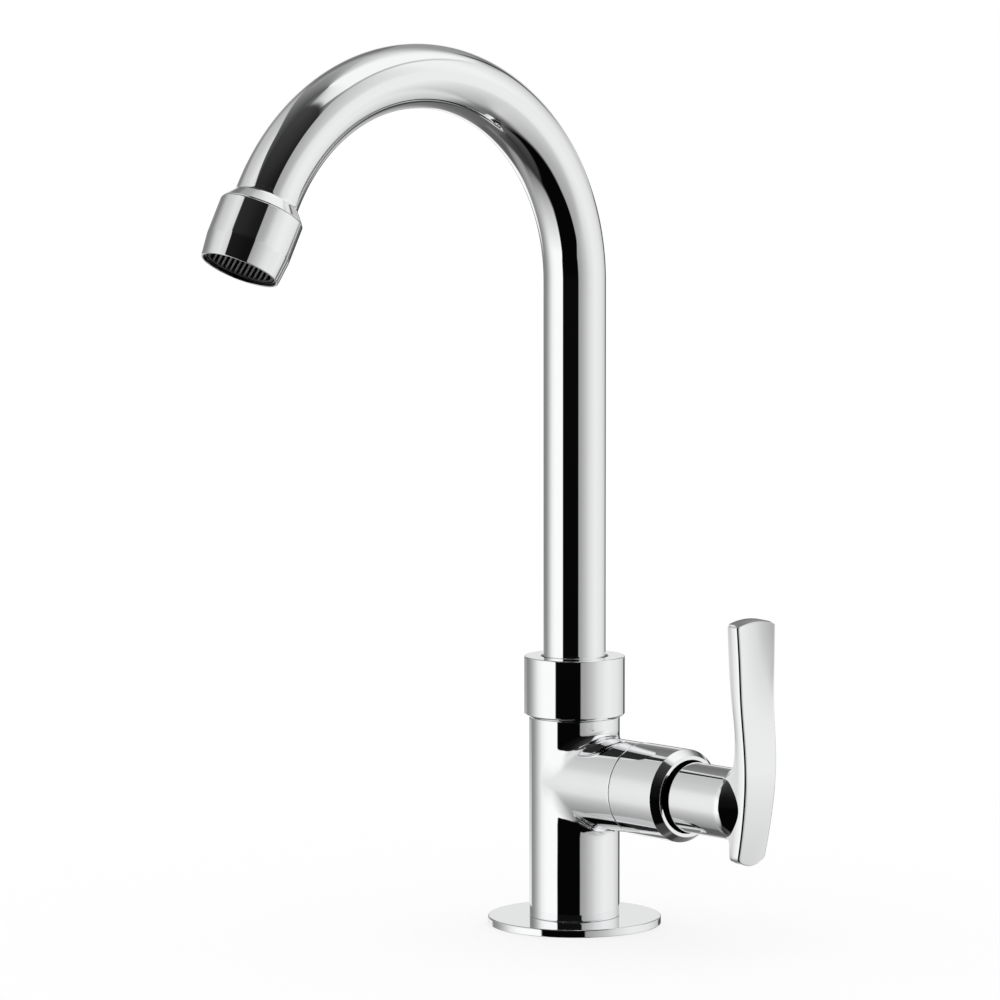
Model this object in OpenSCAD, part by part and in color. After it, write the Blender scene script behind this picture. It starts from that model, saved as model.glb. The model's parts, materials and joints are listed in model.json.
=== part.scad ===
// Single-lever pillar tap for a basin, with a swivelling swan-neck spout.
// Millimetres. The origin is on the deck, on the axis of the column. +Z is up,
// the spout reaches out along -Y and the valve branch with its lever along +X.

/* [Deck fixing] */
// Radius of the round cover flange
flange_r = 28; // [25:0.5:36]
// Thickness of the cover flange
flange_t = 2.5; // [2:0.1:5]
// Radius of the rubber ring under the flange
gasket_r = 24; // [20:0.5:24.5]
// Thickness of the rubber ring under the flange
gasket_t = 1.2; // [0.8:0.1:1.5]
// Thickness of the basin deck that is clamped
deck_t = 20; // [5:1:30]
// Radius of the rubber washer under the deck
washer_r = 21; // [18:0.5:26]
// Radius of the steel washer under the deck
clamp_washer_r = 20; // [17:0.5:25]
// Thickness of the rubber washer under the deck
deck_washer_t = 3; // [2:0.5:5]
// Thickness of the steel washer under the deck
clamp_washer_t = 1.5; // [1:0.1:3]
// Width across the flats of the backnut
backnut_af = 30; // [27:0.5:36]
// Height of the backnut
backnut_t = 7; // [5:0.5:12]
// Radius of the clamp thread on the shank
shank_r = 11; // [10.8:0.05:11.4]
// Radius of the tail below it, a half-inch pipe thread
tail_r = 10.48; // [9.5:0.02:10.6]
// Chamfer on the end of the tail
tail_chamfer = 0.8; // [0.4:0.1:1.2]
// Width of the groove between the two threads
relief_w = 1.2; // [0.8:0.1:2]
// Radius of the water way through the shank
shank_bore_r = 7.2; // [5:0.1:7.6]
// Length of shank screwed into the body
shank_grip = 14; // [8:0.5:16]
// Length of clamp thread that shows below the backnut
shank_free = 1; // [0.5:0.5:15]
// Length of the tail with its groove and chamfer
tail_len = 13.5; // [10:0.5:25]
// Thickness of the sealing ring on top of the shank
shank_seal_t = 1.4; // [1:0.1:2]

/* [Body] */
// Radius of the upright body
body_r = 14.6; // [14:0.1:18]
// Height of the plain body above the flange
body_h = 65.1; // [63:0.5:80]
// Step from the body in to its threaded neck
neck_step = 1; // [0.6:0.1:1.2]
// Height of the threaded neck on top of the body
neck_h = 11.8; // [8:0.1:14]
// Wall of the neck round the socket that the spout turns in
neck_wall = 4.1; // [3.6:0.1:4.6]
// Depth of the socket that the spout turns in
socket_depth = 19; // [18:0.1:19.5]
// Radius of the upright water way below the seat
inlet_r = 5.5; // [4:0.1:6]
// Distance of that water way behind the column axis
inlet_back = 3; // [2:0.1:4]
// Radius of the sloping port from the valve to the spout
riser_r = 2.8; // [2:0.1:3]
// Chamfer round the foot of the body
foot_chamfer = 0.4; // [0.2:0.1:1]

/* [Valve branch] */
// Height of the branch axis above the flange
branch_h = 45; // [43:0.5:46]
// Radius of the branch
branch_r = 14.6; // [14.2:0.1:16]
// Length of the branch from the column axis to the cover
branch_len = 32.3; // [30:0.1:40]
// Length of the thread that the cover screws on to
cover_grip = 6.7; // [5:0.1:7]
// Radius of that thread
cover_thread_r = 12.85; // [12.7:0.05:12.9]
// Distance of the valve seat from the column axis
seat_x = 7; // [6:0.1:8]
// Radius of the hole in the valve seat
seat_hole_r = 4.8; // [3:0.1:5]
// Radius of the chamber round the cartridge
chamber_r = 9.9; // [9.5:0.1:10.1]
// Depth of the thread that holds the cartridge
cartridge_grip = 12; // [8:0.5:13]
// Radius of the cartridge thread
cartridge_thread_r = 10.48; // [10.4:0.02:10.6]

/* [Cartridge cover] */
// Radius of the cover
cover_r = 14.8; // [14.6:0.1:16]
// Length of the straight part of the cover
cover_len = 19.4; // [18:0.1:24]
// Length of the cone at the end of the cover
cover_cone_len = 2.7; // [2:0.1:4]
// Radius at the small end of that cone
cover_nose_r = 12.85; // [12.5:0.05:13]
// Radius of the hole in the end of the cover
cover_hole_r = 11.7; // [11.4:0.05:12.4]

/* [Cartridge] */
// Radius of the cartridge nose inside the chamber
nose_r = 9; // [8.8:0.1:9.3]
// Radius of the bore that holds the discs
disc_bore_r = 7.6; // [7.4:0.1:7.9]
// Thickness of each ceramic disc
disc_t = 3; // [2.5:0.1:3.4]
// Radius of each port in the discs
port_r = 1.9; // [1.2:0.1:2]
// Distance of each port from the middle of its disc
port_offset = 3.8; // [3:0.1:4]
// Thickness of the driver that turns the moving disc
driver_t = 5.5; // [4:0.1:6]
// Width of the windows in the side of the cartridge
window_w = 6; // [4:0.5:7]
// Thickness of the rubber seal on the valve seat
seat_seal_t = 2.3; // [2:0.1:3]
// Width across the flats of the cartridge hexagon
hex_af = 21; // [18:0.5:21.5]
// Thickness of the cartridge hexagon
hex_t = 5; // [3:0.5:6]
// Radius of the cartridge neck
gland_r = 6.6; // [6:0.1:7.2]
// Length of the cartridge neck past the hexagon
gland_len = 9; // [8:0.1:9.2]
// Radius of the spindle
spindle_r = 4.9; // [4.6:0.1:5]
// Tip radius of the spline on the spindle
spline_r = 3.9; // [3.5:0.1:4.1]
// Distance of the first seal groove past the disc bore
spindle_groove_x = 8; // [6:0.1:9]
// Distance between the two seal grooves
spindle_groove_pitch = 5; // [3:0.1:5]
// Width of each seal groove
spindle_groove_w = 1.4; // [1.2:0.1:1.8]
// Depth of each seal groove
spindle_groove_depth = 1; // [0.8:0.1:1.2]
// Depth of the spline teeth
spline_depth = 0.4; // [0.3:0.05:0.5]
// Number of spline teeth
spline_teeth = 20; // [12:2:24]

/* [Spout joint] */
// Wall of the spout nut outside its thread
nut_wall = 2.55; // [2:0.05:4]
// Gap between the body and the spout nut above it
nut_gap = 0.4; // [0.3:0.1:1]
// Rounding chamfer round the bottom of the spout nut
nut_chamfer = 0.5; // [0.3:0.1:1.5]
// Radius of the hole that the tube passes in the nut
nut_hole_r = 10.8; // [10.5:0.1:11.2]
// Thickness of the lip of the nut over the spout foot
nut_lip_t = 2; // [1.5:0.1:3]
// Thickness of each plastic slip ring
slip_t = 1; // [0.8:0.1:1.2]
// Thickness of the shoulder on the spout foot
foot_t = 3.5; // [3:0.1:4.5]
// Radius of the water way through the spout foot
foot_bore_r = 6; // [5:0.1:6.2]
// Length of the spigot under the spout foot
spigot_len = 17; // [14:0.5:17.5]
// Distance of the first seal groove below the spout foot
seal_first = 5; // [3:0.5:6]
// Distance between the two seal grooves
seal_pitch = 5; // [3:0.5:6]
// Depth of the tube in the spout foot
tube_seat = 2.4; // [1.5:0.1:2.6]
// Thickness of the ring section of the spout seals
oring_d = 1.6; // [1.4:0.1:1.7]

/* [Spout] */
// Outer radius of the spout tube
tube_r = 10; // [9.5:0.1:10.2]
// Wall of the spout tube
tube_wall = 1; // [0.8:0.1:1.5]
// Height of the spout column up to the bend, above the deck
bend_z = 208; // [150:1:280]
// Radius of the bend
bend_r = 66; // [50:1:90]
// Angle of the bend
bend_angle = 153; // [120:1:175]

/* [Outlet] */
// Length of the straight neck of the nozzle, as wide as the tube
nozzle_neck = 1.4; // [1:0.1:6]
// Length of the cone between tube and aerator
flare_len = 3.7; // [3:0.1:8]
// Length of the thread that the aerator screws on to
outlet_grip = 7.6; // [6:0.1:8]
// Length of the spigot of the nozzle inside the tube
nozzle_spigot_len = 2.5; // [2:0.1:5]
// Wall of that spigot
nozzle_spigot_wall = 1.2; // [0.8:0.1:1.6]
// Length of the aerator shell
shell_len = 19.3; // [19:0.1:24]
// Length of the straight part of the shell
shell_straight = 12; // [8:0.1:16]
// Radius of the shell at its top
shell_top_r = 13.2; // [13:0.1:14.5]
// Radius of the shell at its mouth
shell_mouth_r = 12.4; // [12.2:0.1:14]
// Radius of the shell bore
shell_bore_r = 11.7; // [11.4:0.1:11.9]
// Radius of the hole in the shell mouth
mouth_hole_r = 10.9; // [10.6:0.1:11.1]
// Thickness of the lip round that hole
mouth_lip_t = 2.3; // [1.9:0.1:3]
// Radius of the step in the shell mouth
mouth_step_r = 11.8; // [11.2:0.1:11.8]
// Depth of the step in the shell mouth
mouth_step_t = 0.7; // [0.3:0.1:1]
// Depth of the grille behind the mouth
grille_recess = 1.2; // [0.5:0.1:1.5]
// Thickness of the grille
grille_t = 3; // [2:0.1:3.4]
// Distance between the middles of two grille bars
bar_pitch = 1.5; // [1.4:0.1:3]
// Width of a grille bar
bar_w = 0.7; // [0.6:0.1:1]
// Angle at which the grille bars stand
grille_turn = 34; // [0:1:90]
// Wall of the aerator cup
cup_wall = 0.9; // [0.7:0.1:1.2]
// Thickness of the rubber ring on the aerator cup
outlet_washer_t = 1.5; // [1:0.1:2]

/* [Lever] */
// Radius of the round hub
hub_r = 11.2; // [10.5:0.1:11.6]
// Gap between the cover and the hub
hub_gap = 1.9; // [0.5:0.1:2.5]
// Length of the round hub
hub_len = 22.4; // [21.5:0.1:28]
// Length of the cone from the hub to the blade
hub_cone_len = 4.8; // [4:0.1:6]
// Length of the blade above the branch axis
blade_up = 57.9; // [35:0.1:80]
// Length of the blade below the branch axis
blade_down = 17.6; // [16:0.1:26]
// Width of the blade at its top
blade_top_w = 15.9; // [13:0.1:20]
// Width of the blade at its bottom
blade_bottom_w = 11.5; // [9:0.1:16]
// Thickness of the blade at its top
blade_t = 4.8; // [3:0.1:5.5]
// Thickness of the blade behind its belly
blade_belly_t = 5.2; // [4:0.1:6.5]
// Distance of the belly past the cone of the hub
blade_ahead = 3.5; // [2.5:0.1:5]
// Height of the belly above the branch axis
blade_belly_z = 13.5; // [8:0.5:18]
// Distance of the bottom edge behind the top edge
blade_tip_back = 1.5; // [1:0.1:3.5]
// Height of the crown on the top edge
crown_h = 1.2; // [0.8:0.1:3]
// Height of the crown on the bottom edge
tip_h = 1.1; // [0.8:0.1:3]
// Bulge of the blade's face in front of its ends
blade_bulge = 3.1; // [1:0.1:4]
// Radius of the fillet from the hub to the back of the blade
back_fillet = 5; // [3:0.1:7]
// Depth of the hollow in the hub round the spindle
hub_cavity_len = 7; // [5:0.1:8]
// Radius of the set screw
set_screw_r = 2; // [1.5:0.1:2.5]

/* [Clearances] */
// Radial clearance of threads and pressed fits
fit = 0.05; // [0.03:0.01:0.1]
// Radial clearance of parts that turn in each other
run = 0.06; // [0.03:0.01:0.09]
// Axial play of parts that turn against each other
play = 0.1; // [0.05:0.01:0.2]

/* [Hidden] */
$fn = 72;
// A cut runs this far past the face that it opens
past = 1;
// Small chamfer on plated edges
edge = 0.4;
// Clearance of a hole that only passes a part
loose = 0.3;
// Axial gap at a sealing ring or a disc
seal_gap = 0.1;
// Least gap round a sealing ring
seal_skin = 0.02;
// Axial gap between parts that are stacked or screwed together
stack_gap = 0.05;

// Heights along the column
body_top_z = flange_t + body_h;
neck_r = body_r - neck_step;
neck_top_z = body_top_z + neck_h;
socket_r = neck_r - neck_wall;
socket_z = neck_top_z - socket_depth;
shank_top_z = flange_t + shank_grip;
shank_socket_z = shank_top_z + shank_seal_t + seal_gap;
deck_nut_z = -(deck_t + deck_washer_t + clamp_washer_t);
tail_z = deck_nut_z - backnut_t - shank_free;
shank_bottom_z = tail_z - tail_len;
branch_z = flange_t + branch_h;

// Places along the branch, measured from the column axis
seam_x = branch_len;
cover_thread_x = seam_x + cover_grip;
cover_end_x = seam_x + cover_len;
cover_nose_x = cover_end_x + cover_cone_len;
cover_gap = 0.15;
cover_edge = 0.2;
cartridge_seat_x = cover_thread_x;
gland_end_x = cartridge_seat_x + hex_t + gland_len;
disc_x = seat_x + seat_seal_t + seal_gap;
driver_x = disc_x + 2 * disc_t + seal_gap;
disc_bore_end_x = driver_x + driver_t + loose;
disc_play = 0.15;
cartridge_oring_d = 1.4;
oring_seat_r = cartridge_thread_r + fit + cartridge_oring_d + 2 * seal_skin;
thread_runout = 1;

// Spindle and lever along the branch
spindle_groove_xs = [for (i = [0, 1]) disc_bore_end_x + spindle_groove_x + i * spindle_groove_pitch];
circlip_t = 0.8;
circlip_x = gland_end_x + 0.2;
circlip_depth = 0.7;
spindle_shoulder_x = circlip_x + circlip_t + 0.6;
hub_x = cover_nose_x + hub_gap;
hub_end_x = hub_x + hub_len;
hub_cavity_r = hub_r - 2;
bush_x = hub_x + hub_cavity_len;
bush_r = spline_r + 1.6;
bush_len = hub_len - hub_cavity_len - 2;
spindle_end_x = bush_x + bush_len - 0.5;
set_screw_x = bush_x + bush_len / 2;
plug_r = set_screw_r + 0.6;
plug_t = 1.6;

// Spout joint
thrust_z = neck_top_z;
foot_z = thrust_z + slip_t + play;
foot_r = neck_r - 0.6;
spigot_r = socket_r - run;
slip_z = foot_z + foot_t + play;
nut_lip_z = slip_z + slip_t + play;
nut_top_z = nut_lip_z + nut_lip_t;
nut_z = body_top_z + nut_gap;
nut_h = nut_top_z - nut_z;
nut_bore_r = neck_r + fit;
nut_r = nut_bore_r + nut_wall;
tube_z = foot_z + foot_t - tube_seat;
seal_mid_r = socket_r - fit - oring_d / 2;
seal_groove_r = seal_mid_r - oring_d / 2 - stack_gap;
seal_groove_w = oring_d + 0.4;
seal_drops = [seal_first, seal_first + seal_pitch];

// Outlet, measured along the tube from the end of the bend
flare_end_s = nozzle_neck + flare_len;
flare_step = 0.2;
shell_s = flare_end_s + flare_step;
thread_end_s = shell_s + outlet_grip;
outlet_thread_r = shell_bore_r - fit;
nozzle_spigot_r = tube_r - tube_wall - 0.2;
outlet_bore_r = nozzle_spigot_r - nozzle_spigot_wall;
washer_s = thread_end_s + stack_gap;
cup_s = washer_s + outlet_washer_t + stack_gap;
shell_end_s = shell_s + shell_len;
lip_s = shell_end_s - mouth_lip_t;
cup_r = shell_bore_r - fit;
cup_in_r = min(cup_r - cup_wall, mouth_hole_r);
cup_len = lip_s - cup_s - stack_gap;
grille_end_s = shell_end_s - grille_recess;
grille_s = grille_end_s - grille_t;
grille_r = min(cup_in_r, mouth_hole_r) - fit;
grille_rim = 1;
diffuser_s = cup_s + 0.4;
diffuser_t = 1.2;
diffuser_holes = 12;
diffuser_hole_r = 0.8;
screen_s = diffuser_s + diffuser_t + stack_gap;
screen_t = 0.4;
screen_pitch = 3;
screen_hole = 2;
screen_rows = 3;

// Blade outline, as distances from the column axis and heights from the branch axis
blade_front_x = hub_end_x + hub_cone_len + blade_ahead;
blade_top_x = blade_front_x - blade_bulge;
blade_tip_x = blade_top_x - blade_tip_back;
blade_back_x = blade_front_x - blade_belly_t;
blade_corner = 0.75;
blade_steps = 12;
// Length of the curve handles on each side of the belly
belly_reach = 12;
tip_reach = 10;
chrome = [0.86, 0.87, 0.88];
brass = [0.78, 0.64, 0.35];
rubber = [0.1, 0.1, 0.1];
natural = [0.92, 0.91, 0.86];

function bezier(p0, p1, p2, p3, t) =
    pow(1 - t, 3) * p0 + 3 * t * pow(1 - t, 2) * p1 + 3 * t * t * (1 - t) * p2 + t * t * t * p3;

function curve(p0, p1, p2, p3, steps = 12) = [for (i = [0:steps]) bezier(p0, p1, p2, p3, i / steps)];

// Width of the blade at a height from the branch axis
function blade_w(z) =
    blade_bottom_w + (blade_top_w - blade_bottom_w) * (z + blade_down) / (blade_up + blade_down);

module ring(r_out, r_in, h) {
    difference() {
        cylinder(r = r_out, h = h);
        translate([0, 0, -past]) cylinder(r = r_in, h = h + 2 * past);
    }
}

module oring(mid_r, d) {
    rotate_extrude() translate([mid_r, 0]) circle(d = d, $fn = 24);
}

// Places children on the branch axis with their +Z along the branch
module on_branch(x) {
    translate([x, 0, branch_z]) rotate([0, 90, 0]) children();
}

// Places children at a distance past the bend with their +Z along the tube
module on_outlet(s) {
    translate([0, -bend_r, bend_z]) rotate([bend_angle, 0, 0]) translate([0, bend_r, s]) children();
}

module hexagon(af, h) {
    cylinder(r = af / 2 / cos(30), h = h, $fn = 6);
}

module spline_profile(tip_r) {
    points = [for (i = [0:2 * spline_teeth - 1])
        let (r = tip_r - (i % 2) * spline_depth, a = i * 180 / spline_teeth) [r * cos(a), r * sin(a)]];
    polygon(points);
}

module base_flange() {
    color(chrome) difference() {
        union() {
            cylinder(r = flange_r, h = flange_t - edge);
            translate([0, 0, flange_t - edge]) cylinder(r1 = flange_r, r2 = flange_r - edge, h = edge);
        }
        translate([0, 0, -past]) cylinder(r = gasket_r + fit, h = gasket_t + past);
        translate([0, 0, -past]) cylinder(r = shank_r + loose, h = flange_t + 2 * past);
    }
}

module flange_gasket() {
    color(rubber) ring(gasket_r, shank_r + loose, gasket_t);
}

// The clamp thread above, then a groove and the thinner tail for the supply hose
module shank() {
    relief_r = tail_r - 0.5;
    color(brass) difference() {
        union() {
            translate([0, 0, tail_z]) cylinder(r = shank_r, h = shank_top_z - tail_z);
            translate([0, 0, tail_z - relief_w]) cylinder(r = relief_r, h = relief_w);
            translate([0, 0, shank_bottom_z + tail_chamfer])
                cylinder(r = tail_r, h = tail_len - relief_w - tail_chamfer);
            translate([0, 0, shank_bottom_z])
                cylinder(r1 = tail_r - tail_chamfer, r2 = tail_r, h = tail_chamfer);
        }
        translate([0, 0, shank_bottom_z - past])
            cylinder(r = shank_bore_r, h = shank_top_z - shank_bottom_z + 2 * past);
    }
}

module shank_seal() {
    color(rubber) translate([0, 0, shank_top_z + seal_gap / 2])
        ring(shank_r - fit, shank_bore_r + loose, shank_seal_t);
}

module deck_washer() {
    color([0.12, 0.12, 0.12]) translate([0, 0, -deck_t - deck_washer_t])
        ring(washer_r, shank_r + fit, deck_washer_t);
}

module clamp_washer() {
    color([0.7, 0.71, 0.72]) translate([0, 0, deck_nut_z])
        ring(clamp_washer_r, shank_r + fit, clamp_washer_t);
}

module backnut() {
    color(brass) translate([0, 0, deck_nut_z - backnut_t])
        difference() {
            hexagon(backnut_af, backnut_t);
            translate([0, 0, -past]) cylinder(r = shank_r + fit, h = backnut_t + 2 * past);
        }
}

// The column, its threaded neck and the branch stub, before any hole is cut
module body_outside() {
    translate([0, 0, flange_t]) cylinder(r1 = body_r - foot_chamfer, r2 = body_r, h = foot_chamfer);
    translate([0, 0, flange_t + foot_chamfer]) cylinder(r = body_r, h = body_h - foot_chamfer);
    translate([0, 0, body_top_z]) cylinder(r = neck_r, h = neck_h);
    on_branch(0) cylinder(r = branch_r, h = seam_x);
    on_branch(seam_x) cylinder(r = cover_thread_r, h = cover_grip);
}

module body_water_ways() {
    translate([0, 0, flange_t - past]) cylinder(r = shank_r + fit, h = shank_socket_z - flange_t + past);
    translate([-inlet_back, 0, shank_socket_z - past])
        cylinder(r = inlet_r, h = branch_z - shank_socket_z + past);
    translate([-inlet_back, 0, branch_z]) sphere(r = inlet_r);
    on_branch(-inlet_back) cylinder(r = seat_hole_r, h = seat_x + inlet_back + past);
    on_branch(seat_x) cylinder(r = chamber_r, h = cartridge_seat_x - seat_x + past);
    on_branch(cartridge_seat_x - cartridge_grip - thread_runout)
        cylinder(r = cartridge_thread_r + fit, h = cartridge_grip + thread_runout + past);
    on_branch(cartridge_seat_x - cartridge_oring_d - seal_gap)
        cylinder(r = oring_seat_r, h = cartridge_oring_d + seal_gap + past);
    translate([0, 0, socket_z]) cylinder(r = socket_r, h = socket_depth + past);
    riser();
}

// The port slopes from the chamber up into the floor of the spout socket
module riser() {
    rise = 5;
    low = [seat_x + rise, branch_z + rise];
    high = [socket_r - 2 * riser_r, socket_z + riser_r];
    run_x = high[0] - low[0];
    run_z = high[1] - low[1];
    translate([low[0], 0, low[1]]) rotate([0, atan2(run_x, run_z), 0])
        cylinder(r = riser_r, h = norm([run_x, run_z]));
}

module body() {
    color(chrome) difference() {
        body_outside();
        body_water_ways();
    }
}

module seat_seal() {
    lip = 1;
    color(rubber) on_branch(seat_x + seal_gap / 2)
        ring(disc_bore_r + lip, seat_hole_r + loose, seat_seal_t);
}

module fixed_disc() {
    color([0.93, 0.92, 0.88]) on_branch(disc_x) difference() {
        cylinder(r = disc_bore_r - fit, h = disc_t - seal_skin);
        disc_ports();
    }
}

module moving_disc() {
    color([0.93, 0.92, 0.88]) on_branch(disc_x + disc_t + seal_skin) rotate([0, 0, 90]) difference() {
        cylinder(r = disc_bore_r - disc_play, h = disc_t - seal_skin);
        disc_ports();
    }
}

// Two round ports, which line up with those of the other disc after a quarter turn
module disc_ports() {
    for (side = [-1, 1]) translate([side * port_offset, 0, -past])
        cylinder(r = port_r, h = disc_t + 2 * past);
}

module cartridge_body() {
    thread_x = cartridge_seat_x - cartridge_grip;
    window_inset = 0.5;
    window_reach = nose_r + past;
    color(brass) difference() {
        union() {
            on_branch(disc_x) cylinder(r = nose_r, h = thread_x - disc_x);
            on_branch(thread_x) cylinder(r = cartridge_thread_r, h = cartridge_grip);
            on_branch(cartridge_seat_x) hexagon(hex_af, hex_t);
            on_branch(cartridge_seat_x + hex_t) cylinder(r = gland_r, h = gland_len);
        }
        on_branch(disc_x - past) cylinder(r = disc_bore_r, h = disc_bore_end_x - disc_x + past);
        on_branch(0) cylinder(r = spindle_r + run, h = gland_end_x + past);
        for (turn = [0, 90]) on_branch(driver_x + window_inset) rotate([0, 0, turn])
            translate([-window_reach, -window_w / 2, 0])
                cube([2 * window_reach, window_w, driver_t - 2 * window_inset]);
    }
}

module cartridge_oring() {
    color(rubber) on_branch(cartridge_seat_x - (cartridge_oring_d + seal_gap) / 2)
        oring(cartridge_thread_r + fit + cartridge_oring_d / 2 + seal_skin, cartridge_oring_d);
}

module spindle() {
    color(brass) difference() {
        union() {
            on_branch(driver_x) cylinder(r = disc_bore_r - disc_play - fit, h = driver_t);
            on_branch(driver_x + driver_t)
                cylinder(r = spindle_r, h = spindle_shoulder_x - driver_x - driver_t);
            on_branch(spindle_shoulder_x)
                linear_extrude(spindle_end_x - spindle_shoulder_x) spline_profile(spline_r);
        }
        for (x = spindle_groove_xs) on_branch(x)
            ring(spindle_r + past, spindle_r - spindle_groove_depth, spindle_groove_w);
        on_branch(circlip_x) ring(spindle_r + past, spindle_r - circlip_depth, circlip_t + seal_gap);
    }
}

module spindle_orings() {
    color(rubber) for (x = spindle_groove_xs) on_branch(x + spindle_groove_w / 2)
        oring(spindle_r - spindle_groove_depth / 2 + seal_skin, spindle_groove_depth);
}

module spindle_circlip() {
    rim = 1;
    mouth = 3;
    color([0.6, 0.61, 0.62]) on_branch(circlip_x + seal_gap / 2) difference() {
        ring(spindle_r + rim, spindle_r - circlip_depth + stack_gap, circlip_t);
        translate([0, -mouth / 2, -past]) cube([spindle_r + rim + past, mouth, circlip_t + 2 * past]);
    }
}

module cartridge_cover() {
    bore_r = cover_thread_r + fit;
    ledge = 1;
    color(chrome) difference() {
        union() {
            on_branch(seam_x + cover_gap) cylinder(r1 = cover_r - cover_edge, r2 = cover_r, h = cover_edge);
            on_branch(seam_x + cover_gap + cover_edge)
                cylinder(r = cover_r, h = cover_len - cover_gap - cover_edge);
            on_branch(cover_end_x) cylinder(r1 = cover_r, r2 = cover_nose_r, h = cover_cone_len);
        }
        on_branch(seam_x - past) cylinder(r = bore_r, h = cover_len - ledge + past);
        on_branch(seam_x) cylinder(r = cover_hole_r, h = cover_len + cover_cone_len + past);
    }
}

module thrust_washer() {
    color(natural) translate([0, 0, thrust_z]) ring(foot_r, socket_r + loose, slip_t);
}

module spout_foot() {
    spigot_z = foot_z - spigot_len;
    color(brass) difference() {
        union() {
            translate([0, 0, foot_z]) cylinder(r = foot_r, h = foot_t);
            translate([0, 0, spigot_z]) cylinder(r = spigot_r, h = spigot_len);
        }
        translate([0, 0, spigot_z - past]) cylinder(r = foot_bore_r, h = spigot_len + foot_t + 2 * past);
        translate([0, 0, tube_z]) cylinder(r = tube_r + fit, h = tube_seat + past);
        for (drop = seal_drops) translate([0, 0, foot_z - drop - seal_groove_w])
            ring(spigot_r + past, seal_groove_r, seal_groove_w);
    }
}

module spout_orings() {
    color(rubber) for (drop = seal_drops)
        translate([0, 0, foot_z - drop - seal_groove_w / 2]) oring(seal_mid_r, oring_d);
}

module slip_ring() {
    color(natural) translate([0, 0, nut_lip_z - slip_t]) ring(foot_r, tube_r + loose, slip_t);
}

module spout_nut() {
    color(chrome) difference() {
        union() {
            translate([0, 0, nut_z]) cylinder(r1 = nut_r - nut_chamfer, r2 = nut_r, h = nut_chamfer);
            translate([0, 0, nut_z + nut_chamfer]) cylinder(r = nut_r, h = nut_h - nut_chamfer - edge);
            translate([0, 0, nut_top_z - edge]) cylinder(r1 = nut_r, r2 = nut_r - edge, h = edge);
        }
        translate([0, 0, nut_z - past]) cylinder(r = nut_bore_r, h = nut_lip_z - nut_z + past);
        translate([0, 0, nut_z]) cylinder(r = nut_hole_r, h = nut_h + past);
    }
}

module tube_profile() {
    difference() {
        circle(r = tube_r);
        circle(r = tube_r - tube_wall);
    }
}

// The upright stretch hangs from the bend's own start plane, so the two meet in one face
module spout_tube() {
    color(chrome) translate([0, 0, bend_z]) {
        rotate([180, 0, 0]) linear_extrude(bend_z - tube_z) tube_profile();
        translate([0, -bend_r, 0]) rotate([90, 0, 90])
            rotate_extrude(angle = bend_angle, $fn = 180) translate([bend_r, 0]) tube_profile();
    }
}

module outlet_nozzle() {
    color(chrome) on_outlet(0) difference() {
        union() {
            translate([0, 0, -nozzle_spigot_len]) cylinder(r = nozzle_spigot_r, h = nozzle_spigot_len);
            cylinder(r = tube_r, h = nozzle_neck);
            translate([0, 0, nozzle_neck])
                cylinder(r1 = tube_r, r2 = shell_top_r - flare_step, h = flare_len);
            translate([0, 0, flare_end_s]) cylinder(r = outlet_thread_r, h = thread_end_s - flare_end_s);
        }
        translate([0, 0, -nozzle_spigot_len - past])
            cylinder(r = outlet_bore_r, h = nozzle_spigot_len + thread_end_s + 2 * past);
    }
}

module aerator_shell() {
    color(chrome) on_outlet(shell_s) difference() {
        union() {
            cylinder(r = shell_top_r, h = shell_straight);
            translate([0, 0, shell_straight])
                cylinder(r1 = shell_top_r, r2 = shell_mouth_r, h = shell_len - shell_straight);
        }
        translate([0, 0, -past]) cylinder(r = shell_bore_r, h = shell_len - mouth_lip_t + past);
        cylinder(r = mouth_hole_r, h = shell_len + past);
        translate([0, 0, shell_len - mouth_step_t]) cylinder(r = mouth_step_r, h = mouth_step_t + past);
    }
}

module aerator_washer() {
    color(rubber) on_outlet(washer_s) ring(cup_r, outlet_bore_r + loose, outlet_washer_t);
}

module aerator_cup() {
    color([0.2, 0.2, 0.21]) on_outlet(cup_s) ring(cup_r, cup_in_r, cup_len);
}

module aerator_diffuser() {
    color([0.2, 0.2, 0.21]) on_outlet(diffuser_s) difference() {
        cylinder(r = cup_in_r - fit, h = diffuser_t);
        for (i = [0:diffuser_holes - 1]) rotate([0, 0, i * 360 / diffuser_holes])
            translate([cup_in_r - 4 * diffuser_hole_r, 0, -past])
                cylinder(r = diffuser_hole_r, h = diffuser_t + 2 * past, $fn = 16);
    }
}

// Two woven screens, drawn as perforated discs one above the other
module aerator_screens() {
    color([0.65, 0.66, 0.67]) for (layer = [0, 1])
        on_outlet(screen_s + layer * (screen_t + stack_gap)) difference() {
            cylinder(r = cup_in_r - fit, h = screen_t);
            for (i = [-screen_rows:screen_rows], j = [-screen_rows:screen_rows])
                if (norm([i, j]) <= screen_rows)
                    translate([i * screen_pitch - screen_hole / 2, j * screen_pitch - screen_hole / 2, -past])
                        cube([screen_hole, screen_hole, screen_t + 2 * past]);
        }
}

module aerator_grille() {
    slot_w = bar_pitch - bar_w;
    count = floor((grille_r - grille_rim) / bar_pitch);
    color([0.16, 0.16, 0.17]) on_outlet(grille_s) rotate([0, 0, grille_turn]) difference() {
        cylinder(r = grille_r, h = grille_t);
        intersection() {
            translate([0, 0, -past]) cylinder(r = grille_r - grille_rim, h = grille_t + 2 * past);
            for (i = [-count:count]) translate([-grille_r, i * bar_pitch - slot_w / 2, -past])
                cube([2 * grille_r, slot_w, grille_t + 2 * past]);
        }
    }
}

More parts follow.
